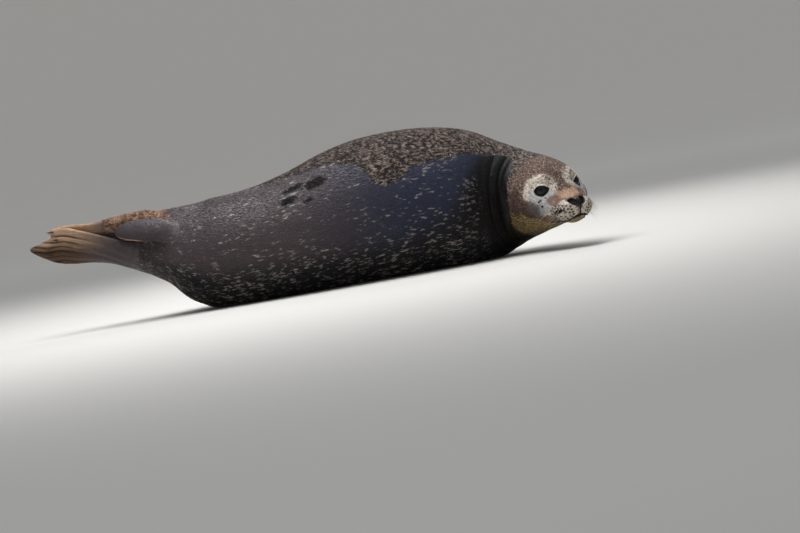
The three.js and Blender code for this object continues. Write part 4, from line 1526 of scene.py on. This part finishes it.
def coat_paint():
    """The tufts' colour is the skin's, with painted shade at the root, and each tuft a little its
    own.
    """
    fur = Fur("coat_fur")
    tip, chance, _ = fur.fields("tuft")
    light = fur.step(tip, 0.0, TUFT_LIT_FROM, TUFT_ROOT_LIGHT, 1.0)
    light = fur.part(light, fur.math("MULTIPLY_ADD", chance, *TUFT_CHANCE))
    fur.set(Base_Color=fur.scaled(fur.colour(), light), Roughness=fur.roughness())
    fur.set(Specular_IOR_Level=FUR_SPECULAR)
    return fur.material


# The iris begins and ends at these angles off the eye's aim, with a ragged edge.
IRIS_FROM, IRIS_TO, IRIS_RAGGED = (0.30, 0.34), (0.52, 0.62), 0.04
EYE_GRAIN, EYE_ROUGH, EYE_SPECULAR = (900, 900, 900), 0.06, 0.28
CLAW_GRAIN, CLAW_TIP, CLAW_ROUGH = (150, 1500, 1500), (0.5, 1.0), 0.4
WHISKER_BASE, WHISKER_ROUGH = (0.0, 0.35), 0.45


def eye_paint():
    paint = Paint("eye_gloss")
    off_aim, _, _ = paint.fields("eye")
    grain = paint.noise(paint.stretched(paint.field("straight"), *EYE_GRAIN))
    edge = paint.math("MULTIPLY_ADD", grain, IRIS_RAGGED, off_aim)
    outside = paint.step(edge, *IRIS_TO, 1.0, 0.0)
    iris = paint.math("MULTIPLY", paint.step(edge, *IRIS_FROM), outside)
    paint.set(Base_Color=paint.mix(iris, tone("pupil"), tone("iris")), Roughness=EYE_ROUGH)
    paint.set(Specular_IOR_Level=EYE_SPECULAR)
    return paint.material


def claw_paint():
    paint = Paint("claw_horn")
    along, _, _ = paint.fields("claw")
    grain = paint.noise(paint.stretched(paint.field("straight"), *CLAW_GRAIN))
    share = paint.math("MULTIPLY", paint.step(along, *CLAW_TIP), grain)
    paint.set(Base_Color=paint.mix(share, tone("claw"), tone("claw tip")), Roughness=CLAW_ROUGH)
    return paint.material


def whisker_paint():
    paint = Paint("whisker_horn")
    along, _, _ = paint.fields("whisker")
    colour = paint.mix(paint.step(along, *WHISKER_BASE), tone("pale shade"), tone("whisker"))
    paint.set(Base_Color=colour, Roughness=WHISKER_ROUGH)
    return paint.material


# ---- the coat ---------------------------------------------------------------------------------

SEED = 2583
# Tufts by place along the body: length, breadth, and how many times over they cover the skin.
COAT = [
    (0.0, 0.0022, 0.00055, 0.30),
    (3.0, 0.0030, 0.00065, 0.36),
    (6.0, 0.0050, 0.00090, 0.50),
    (9.0, 0.0080, 0.0013, 0.80),
    (12.0, 0.0120, 0.0018, 1.05),
    (RUMP_END, 0.0120, 0.0018, 1.05),
]
LIMB_COAT = (0.0055, 0.0010, 0.45)
RIDGE_COAT = (0.0100, 0.0014, 1.7)
# How far a tuft's tip stands off the skin, as a part of its length: least and most.
LIFT = {"wet": (0.010, 0.035), "dry": (0.07, 0.22), "ridge": (0.06, 0.32)}
LIFT_POWER = 1.5  # above one, more of the tufts lie low
TUFT_HEIGHT = 0.24  # of its ridge, as a part of its breadth
TUFT_SINK = 0.0003
# A tuft's five corners (root, left, right, ridge and tip): parts of its length and its breadth.
TUFT_ALONG = np.array([0.0, 0.4, 0.4, 0.45, 1.0])
TUFT_ACROSS = np.array([0.0, 0.5, -0.5, 0.0, 0.0])
CORNERS = len(TUFT_ALONG)
PATTERN_ALONG = 0.5  # the fur's pattern runs on along a tuft by this part of its length
TUFT_RISE = 0.2  # of its middle, as a part of its tip's
LENGTH_SPREAD, BREADTH_SPREAD = (0.65, 0.7), (0.7, 0.6)  # least, and how much more
TUFT_TURN = {"wet": 0.12, "dry": 0.42, "ridge": 0.50}  # spread of its direction, in radians
TUFT_PATCH = 0.003  # the size of a tuft's own place on the unwrap
BARE_BELOW, BARE_FROM = 0.0015, 0.35  # no tufts under this height, nor on barer skin than this
DRY_STATE, RIDGE_STATE = (0.4, 0.6), (0.3, 0.7)  # of the fields, where a tuft's state changes
MOST_TUFTS = 32000  # in one piece of the coat
FACE_END = 9.8  # the coat of the head and neck ends here
TUFT_FACES = np.array([(0, 2, 3), (0, 3, 1), (1, 3, 4), (3, 2, 4), (0, 1, 2), (1, 4, 2)])


def tuft_sizes(shell, t, ridge):
    """Length, breadth and cover of the tufts at each point of the skin."""
    columns = list(zip(*COAT))
    sizes = np.stack([np.interp(t, columns[0], column) for column in columns[1:]], -1)
    sizes = np.where((shell > 0)[:, None], np.array(LIMB_COAT), sizes)
    return sizes + (np.array(RIDGE_COAT) - sizes) * smooth(ridge, *RIDGE_STATE)[:, None]


def coat_cover(points, corners, sizes, bare):
    """How many tufts each triangle of the skin has, on the average."""
    a, b, c = (points[corners[:, k]] for k in range(3))
    area = np.linalg.norm(np.cross(b - a, c - a), axis=-1) / 2
    length, breadth, times = sizes[corners].mean(1).T
    highest = points[corners][:, :, 2].max(1)
    none = (highest < BARE_BELOW) | (bare[corners].max(1) > BARE_FROM)
    return np.where(none, 0.0, area * times / (0.5 * length * breadth))


def coat_roots(skin, facts, random):
    """Seeded random places for tufts all over the skin, with what each is made from."""
    mesh = skin.data
    mesh.calc_loop_triangles()
    corners, loops = (
        read(mesh.loop_triangles, field, (3,), np.int32) for field in ("vertices", "loops")
    )
    points, fields = points_of(mesh), facts["fields"]
    sizes = tuft_sizes(facts["shell"], facts["t"], fields["zones"][:, 1])
    cover = coat_cover(points, corners, sizes, facts["bare"])
    count = np.floor(cover + random.random(len(cover))).astype(int)
    chosen = np.repeat(np.arange(len(cover)), count)
    u, v = random.random((2, len(chosen)))
    over = u + v > 1
    u[over], v[over] = 1 - u[over], 1 - v[over]
    # On a triangle between two shells the tufts grow from its first corner.
    shells = facts["shell"][corners[chosen]]
    mixed = shells.min(1) != shells.max(1)
    u[mixed], v[mixed] = 0.0, 0.0
    weights = np.stack([1 - u - v, u, v], -1)[:, :, None]
    blend = lambda values: (values[corners[chosen]] * weights).sum(1)
    uv = read(mesh.uv_layers[UV_MAP].uv, "vector", (2,))
    roots = {
        "place": blend(points),
        "normal": unit(blend(normals_of(mesh))),
        "lie": blend(facts["lie"]),
        "sizes": blend(sizes),
        "uv": (uv[loops[chosen]] * weights).sum(1),
        "shell": shells[:, 0],
        "t": blend(facts["t"][:, None])[:, 0],
    }
    roots.update({name: blend(values) for name, values in fields.items()})
    return roots


def by_state(values, dry, ridge):
    """A value for each tuft, from those for wet fur, dry fur and the fur over the tail's root."""
    share = values["wet"] + (values["dry"] - values["wet"]) * dry
    return share + (values["ridge"] - share) * ridge


def tuft_shape(roots, random):
    """The five corners of each tuft, how far along it they lie, and their places on a flat tuft."""
    count = len(roots["place"])
    state = (
        smooth(roots["marks"][:, 0], *DRY_STATE),
        smooth(roots["zones"][:, 1], *RIDGE_STATE),
    )
    least, most = (by_state({key: pair[k] for key, pair in LIFT.items()}, *state) for k in (0, 1))
    lift = least + (most - least) * random.random(count) ** LIFT_POWER
    turn = (by_state(TUFT_TURN, *state) * random.normal(size=count))[:, None]
    length, breadth = (
        (roots["sizes"][:, k] * (low + more * random.random(count)))[:, None]
        for k, (low, more) in enumerate((LENGTH_SPREAD, BREADTH_SPREAD))
    )
    up = roots["normal"]
    ahead = squared(roots["lie"], up)
    left = np.cross(up, ahead)
    ahead, left = (
        ahead * np.cos(turn) + left * np.sin(turn),
        left * np.cos(turn) - ahead * np.sin(turn),
    )
    along, across = TUFT_ALONG * length, TUFT_ACROSS * breadth
    tip = lift * length[:, 0]
    middle = TUFT_RISE * tip
    top = middle + TUFT_HEIGHT * breadth[:, 0]
    above = np.stack([np.full(count, -TUFT_SINK), middle, middle, top, tip], -1)
    corners = roots["place"][:, None] + ahead[:, None] * along[:, :, None]
    corners = corners + left[:, None] * across[:, :, None] + up[:, None] * above[:, :, None]
    corners[:, :, 2] = np.maximum(corners[:, :, 2], ON_FLOOR)
    flat = np.stack(np.broadcast_arrays(TUFT_ALONG - 0.5, across / breadth), -1)
    return corners, along, flat


def coat_piece(name, roots, random, material):
    """Some of the tufts as one mesh, each with five corners and six faces."""
    corners, along, flat = tuft_shape(roots, random)
    count = len(corners)
    faces = (CORNERS * np.arange(count)[:, None, None] + TUFT_FACES).reshape(-1, 3)
    mesh = bpy.data.meshes.new(name)
    mesh.vertices.add(CORNERS * count)
    mesh.loops.add(faces.size)
    mesh.polygons.add(len(faces))
    mesh.vertices.foreach_set("co", corners.astype(np.float32).ravel())
    mesh.loops.foreach_set("vertex_index", faces.astype(np.int32).ravel())
    mesh.polygons.foreach_set("loop_start", np.arange(0, faces.size, 3, dtype=np.int32))
    mesh.polygons.foreach_set("use_smooth", np.ones(len(faces), bool))
    mesh.update(calc_edges=True)
    straight = np.repeat(roots["straight"][:, None], CORNERS, 1)
    straight[:, :, 0] += PATTERN_ALONG * along
    put(mesh, "straight", straight.reshape(-1, 3))
    for field in FIELDS:
        put(mesh, field, np.repeat(roots[field], CORNERS, 0))
    tip = np.tile(TUFT_ALONG, (count, 1))
    chance = np.repeat(random.random((count, 2))[:, None], CORNERS, 1)
    put(mesh, "tuft", np.concatenate([tip[:, :, None], chance], -1).reshape(-1, 3))
    uv = np.clip(roots["uv"][:, None] + TUFT_PATCH * flat, 0.0, 1.0).reshape(-1, 2)
    put_unwrap(mesh, uv[faces.ravel()])
    mesh.materials.append(material)
    return object_of(mesh, name)


def coat(skin, facts, material):
    """The whole coat, in pieces by region."""
    random = np.random.default_rng(SEED)
    roots = coat_roots(skin, facts, random)
    on_body = roots["shell"] == 0
    regions = {
        "coat_head": on_body & (roots["t"] < FACE_END),
        "coat_trunk": on_body & (roots["t"] >= FACE_END),
        "coat_limbs": ~on_body,
    }
    pieces = []
    for name, region in regions.items():
        own = np.flatnonzero(region)
        parts = math.ceil(len(own) / MOST_TUFTS)
        for number, some in enumerate(np.array_split(own, parts), start=1):
            part = {key: values[some] for key, values in roots.items()}
            pieces.append(coat_piece(f"{name}_{number}", part, random, material))
    return pieces


# ---- eyes, claws and whiskers -----------------------------------------------------------------

CORNEA = (0.0011, 0.62)  # how far the eye bulges over its ball, and out to what angle
EYE_GRID = (72, 56)
CLAW_GRID = (16, 14)
# Whiskers: length at the front and back of a pad, root and tip radius, and droop of the tip.
WHISKER_LENGTH = (0.016, 0.040)
BROW_LENGTH = 0.020
WHISKER_RADII = (0.00028, 0.00008)
WHISKER_DROOP = 0.40
WHISKER_GRID = (5, 9)
PAD_FRONT, PAD_BACK = 0.090, 0.045  # forward of the eyes
# Ways the whiskers point (forward, out and up), and how much less forward at the pad's back.
WHISKER_AIM, WHISKER_SWEEP = (0.35, 0.60, -0.40), 0.95
BROW_AIM, WHISKER_FALL = (0.35, 0.45, 0.85), np.array([-0.25, 0.0, -1.0])
WHISKER_STRAY = 0.10
WHISKER_SPREAD = (0.75, 0.5)  # least length, and how much more
WHISKER_SINK = 0.001
CLAW_SINK = 0.3  # of its root radius, into the digit


def smooth_piece(name, points, faces, material, **fields):
    mesh = mesh_of(name, points, faces)
    mesh.polygons.foreach_set("use_smooth", [True] * len(mesh.polygons))
    put(mesh, "straight", points)
    for field, values in fields.items():
        put(mesh, field, np.stack([values, 0 * values, 0 * values], -1))
    mesh.materials.append(material)
    return object_of(mesh, name)


def eye_piece(name, side, material):
    sides, rings = EYE_GRID
    off_aim, turn, faces = tube(np.linspace(0, np.pi, rings + 2)[1:-1], sides, np.pi)
    radius = EYE_RADIUS + CORNEA[0] * (1 - smooth(off_aim, 0.0, CORNEA[1]))
    across, up = eye_axes(side)
    flat = (radius * np.sin(off_aim))[:, None]
    points = flat * (np.cos(turn)[:, None] * across + np.sin(turn)[:, None] * up)
    points = points + (radius * np.cos(off_aim))[:, None] * eye_aim(side)
    points = from_head(points + eye_centre(side))
    return smooth_piece(name, points, faces, material, eye=off_aim)


def claw_piece(name, limb, claw, digit, material):
    """A claw on one digit: a cone that lies along it, with its tip bent down."""
    length, root_radius, bend, at, sink = claw
    face = limb["face"]
    v = (2 * digit / (DIGITS - 1) - 1) * OUTER_CLAW
    t = at * limb["last"]
    root = limb_point(limb, t, face * math.acos(v))
    along, normal, over = limb_frame(limb, np.array([t]))
    sides, rings = CLAW_GRID
    part, angle, faces = tube(np.linspace(0, 1, rings + 1)[1:], sides, 1.0)
    radius = root_radius * np.sqrt(part)
    radius[-1] = 0.0
    droop = bend * (1 - part) ** 2 - CLAW_SINK * root_radius
    points = root + along * (length * (1 - part - sink))[:, None]
    points = points - face * over * (radius * np.cos(angle))[:, None]
    points = points + face * normal * (radius * np.sin(angle) - droop)[:, None]
    return smooth_piece(name, settle(points), faces, material, claw=1 - part)


def whisker(root, aim, length, fall):
    """Points and faces of a tapering hair that curves down from its root."""
    sides, rings = WHISKER_GRID
    part, angle, faces = tube(np.linspace(0, 1, rings), sides, 1.0)
    radius = WHISKER_RADII[0] + (WHISKER_RADII[1] - WHISKER_RADII[0]) * part
    radius[-2:] = 0.0
    line = root + length * (aim * part[:, None] + fall * (part**2)[:, None])
    side = unit(np.cross(aim, fall))
    points = line + radius[:, None] * (
        np.cos(angle)[:, None] * side + np.sin(angle)[:, None] * unit(np.cross(side, aim))
    )
    return points, faces, part


def whisker_piece(name, roots, material, random):
    """All the whiskers of one side, or of the brows, from their roots in the head's frame."""
    points, faces, parts, start = [], [], [], 0
    for root in roots:
        side = 1 if root[1] > NOSE_MIDDLE else -1
        back = smooth(root[0], PAD_FRONT, PAD_BACK)
        if root[2] > 0.0:
            length, aim = BROW_LENGTH, mirrored(BROW_AIM, side)
        else:
            length = WHISKER_LENGTH[0] + (WHISKER_LENGTH[1] - WHISKER_LENGTH[0]) * back
            aim = mirrored(WHISKER_AIM, side) - np.array([WHISKER_SWEEP * back, 0.0, 0.0])
        aim = unit(aim + WHISKER_STRAY * random.normal(size=3))
        length *= WHISKER_SPREAD[0] + WHISKER_SPREAD[1] * random.random()
        fall = WHISKER_DROOP * WHISKER_FALL
        own, hair, part = whisker(root - WHISKER_SINK * aim, aim, length, fall)
        points.append(own)
        faces.extend([tuple(start + k for k in face) for face in hair])
        parts.append(part)
        start += len(own)
    place = from_head(np.concatenate(points))
    return smooth_piece(name, place, faces, material, whisker=np.concatenate(parts))


# ---- stage and camera -------------------------------------------------------------------------

# The camera stands back and turned about its line of sight, as the photo is framed.
CAMERA_ROLL, CAMERA_HEIGHT = np.radians([10.2, 3.0])  # its height is an angle over the floor
CAMERA_DISTANCE = 9.0
CAMERA_TARGET = Vector((0.0, 0.0, 0.020))
FRAME_BREADTH = 2.0  # of what the picture shows at the target, over its width
SENSOR = 36.0
# The studio is round: a flat floor, a curve of this radius round it, and a wall up to the height.
STUDIO = {"floor": 13.0, "curve": 2.0, "height": 7.0, "steps": 24, "sides": 128}
# Far from the seal the paper glows a little, since the lights do not reach there.
GLOW_REACH, GLOW_STRENGTH = (1.6, 5.5), 0.27
PAPER_CELLS, PAPER_GRAIN, PAPER_ROUGH = (3.0, 3.0, 3.0), 0.05, 0.9
PAPER_SHADE = (0.5, 0.5, 0.5, 1.0)
# Soft lights: place, aim, size and power in watts.
LIGHTS = {
    "top_light": ((-0.45, -0.15, 2.3), (0.0, 0.0, 0.1), 2.2, 92.0),
    "front_light": ((1.6, -2.8, 1.3), (0.3, 0.0, 0.15), 1.6, 4.0),
    "back_light": ((0.2, 1.7, 1.5), (0.0, 0.0, 0.2), 1.0, 16.0),
}
WORLD_TONE, WORLD_STRENGTH = (0.88, 0.93, 1.0, 1.0), 0.27


def floor_paint():
    paint = Paint("floor_paper")
    place = paint.node("ShaderNodeTexCoord", {}, "Object")
    grain = paint.noise(paint.stretched(place, *PAPER_CELLS))
    shade = paint.mix(paint.math("MULTIPLY", grain, PAPER_GRAIN), tone("floor"), PAPER_SHADE)
    paint.set(Base_Color=shade, Roughness=PAPER_ROUGH)
    away = paint.node("ShaderNodeVectorMath", {0: place}, "Value", operation="LENGTH")
    glow = paint.math("MULTIPLY", paint.step(away, *GLOW_REACH), GLOW_STRENGTH)
    paint.set(Emission_Color=tone("floor"), Emission_Strength=glow)
    return paint.material


def floor_piece():
    """A round floor that curves up into a wall, farther out than any camera."""
    turn = np.linspace(0, np.pi / 2, STUDIO["steps"] + 1)
    reach = STUDIO["floor"] + STUDIO["curve"] * np.append(np.sin(turn), 1.0)
    height = np.append(STUDIO["curve"] * (1 - np.cos(turn)), STUDIO["height"])
    sides = STUDIO["sides"]
    azimuth = np.linspace(0, 2 * np.pi, sides, endpoint=False)
    x, y = reach[:, None] * np.cos(azimuth), reach[:, None] * np.sin(azimuth)
    rings = np.stack([x, y, np.repeat(height[:, None], sides, 1)], -1)
    i = np.arange(sides)
    j = (i + 1) % sides
    ring = np.arange(len(reach) - 1)[:, None] * sides
    quads = np.stack([ring + i, ring + sides + i, ring + sides + j, ring + j], -1)
    faces = [i.tolist()] + quads.reshape(-1, 4).tolist()
    mesh = bpy.data.meshes.new("floor")
    mesh.from_pydata(rings.reshape(-1, 3).tolist(), [], faces)
    mesh.polygons.foreach_set("use_smooth", [False] + [True] * (len(faces) - 1))
    mesh.materials.append(floor_paint())
    return object_of(mesh, "floor")


def aimed(place, target):
    return (Vector(target) - Vector(place)).to_track_quat("-Z", "Y").to_matrix().to_4x4()


def add_lights(shift):
    for name, (place, target, size, power) in LIGHTS.items():
        lamp = bpy.data.lights.new(name, "AREA")
        lamp.shape = "DISK"
        lamp.size = size
        lamp.energy = power
        piece = object_of(lamp, name)
        piece.matrix_world = Matrix.Translation(Vector(place) + shift) @ aimed(place, target)
    world = bpy.data.worlds.new("studio")
    world.use_nodes = True
    background = world.node_tree.nodes["Background"]
    background.inputs["Color"].default_value = WORLD_TONE
    background.inputs["Strength"].default_value = WORLD_STRENGTH
    bpy.context.scene.world = world


def add_camera(shift):
    back = Vector((0.0, -math.cos(CAMERA_HEIGHT), math.sin(CAMERA_HEIGHT)))
    level = Vector((1.0, 0.0, 0.0))
    upright = Vector((0.0, math.sin(CAMERA_HEIGHT), math.cos(CAMERA_HEIGHT)))
    right = math.cos(CAMERA_ROLL) * level - math.sin(CAMERA_ROLL) * upright
    up = math.sin(CAMERA_ROLL) * level + math.cos(CAMERA_ROLL) * upright
    camera = bpy.data.cameras.new("camera")
    camera.sensor_width = SENSOR
    camera.lens = SENSOR * CAMERA_DISTANCE / FRAME_BREADTH
    piece = object_of(camera, "camera")
    turn = Matrix((right, up, back)).transposed().to_4x4()
    place = CAMERA_TARGET + shift + CAMERA_DISTANCE * back
    piece.matrix_world = Matrix.Translation(place) @ turn
    bpy.context.scene.camera = piece


# ---- the whole --------------------------------------------------------------------------------

FLESH = ["head", "neck", "chest", "trunk_middle", "abdomen", "rump", *LIMBS]


def build_seal():
    """Every piece of the seal, in its own coordinates: {piece: (slot, the nodes it replaces)}."""
    skin, facts = finish_skin()
    skin.data.materials.clear()
    skin.data.materials.append(skin_paint())
    pieces = {skin: ("coat", FLESH)}
    pieces.update({piece: ("coat", []) for piece in coat(skin, facts, coat_paint())})
    eye = eye_paint()
    for side, name in ((1, "left"), (-1, "right")):
        pieces[eye_piece(f"eyeball_{name}", side, eye)] = ("eye", [f"eye_{name}"])
    horn = claw_paint()
    for name, limb in LIMBS.items():
        if name == "tail":
            continue
        claw = HIND_CLAW if name.startswith("hind") else FORE_CLAW
        for digit in range(DIGITS):
            node = f"{name.replace('flipper', 'claw')}_{digit + 1}"
            piece = claw_piece(f"{node}_horn", limb, claw, digit, horn)
            pieces[piece] = ("claw", [node])
    random = np.random.default_rng(SEED)
    hair = whisker_paint()
    roots = facts["roots"]
    brow, left = roots[:, 2] > 0.0, roots[:, 1] > NOSE_MIDDLE
    bundles = {"left": ~brow & left, "right": ~brow & ~left, "brow": brow}
    for place, own in bundles.items():
        name = f"whiskers_{place}"
        pieces[whisker_piece(name, roots[own], hair, random)] = ("coat", [])
    return pieces


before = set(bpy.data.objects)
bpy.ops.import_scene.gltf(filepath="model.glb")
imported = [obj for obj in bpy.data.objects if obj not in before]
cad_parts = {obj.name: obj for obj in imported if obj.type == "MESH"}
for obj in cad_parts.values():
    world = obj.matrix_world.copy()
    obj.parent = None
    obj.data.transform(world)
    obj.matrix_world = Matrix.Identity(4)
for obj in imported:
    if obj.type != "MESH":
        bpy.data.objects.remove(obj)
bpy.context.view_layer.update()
low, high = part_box("eye_left")
shift = (Vector(low) + Vector(high)) / 2 - Vector(from_head(eye_centre(1)))
for piece, (finish, nodes) in build_seal().items():
    piece.data.transform(Matrix.Translation(shift))
    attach(piece, "root")
    if nodes:
        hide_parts(*nodes)
floor_piece()
add_lights(shift)
add_camera(shift)
bpy.context.scene.view_settings.view_transform = "Standard"
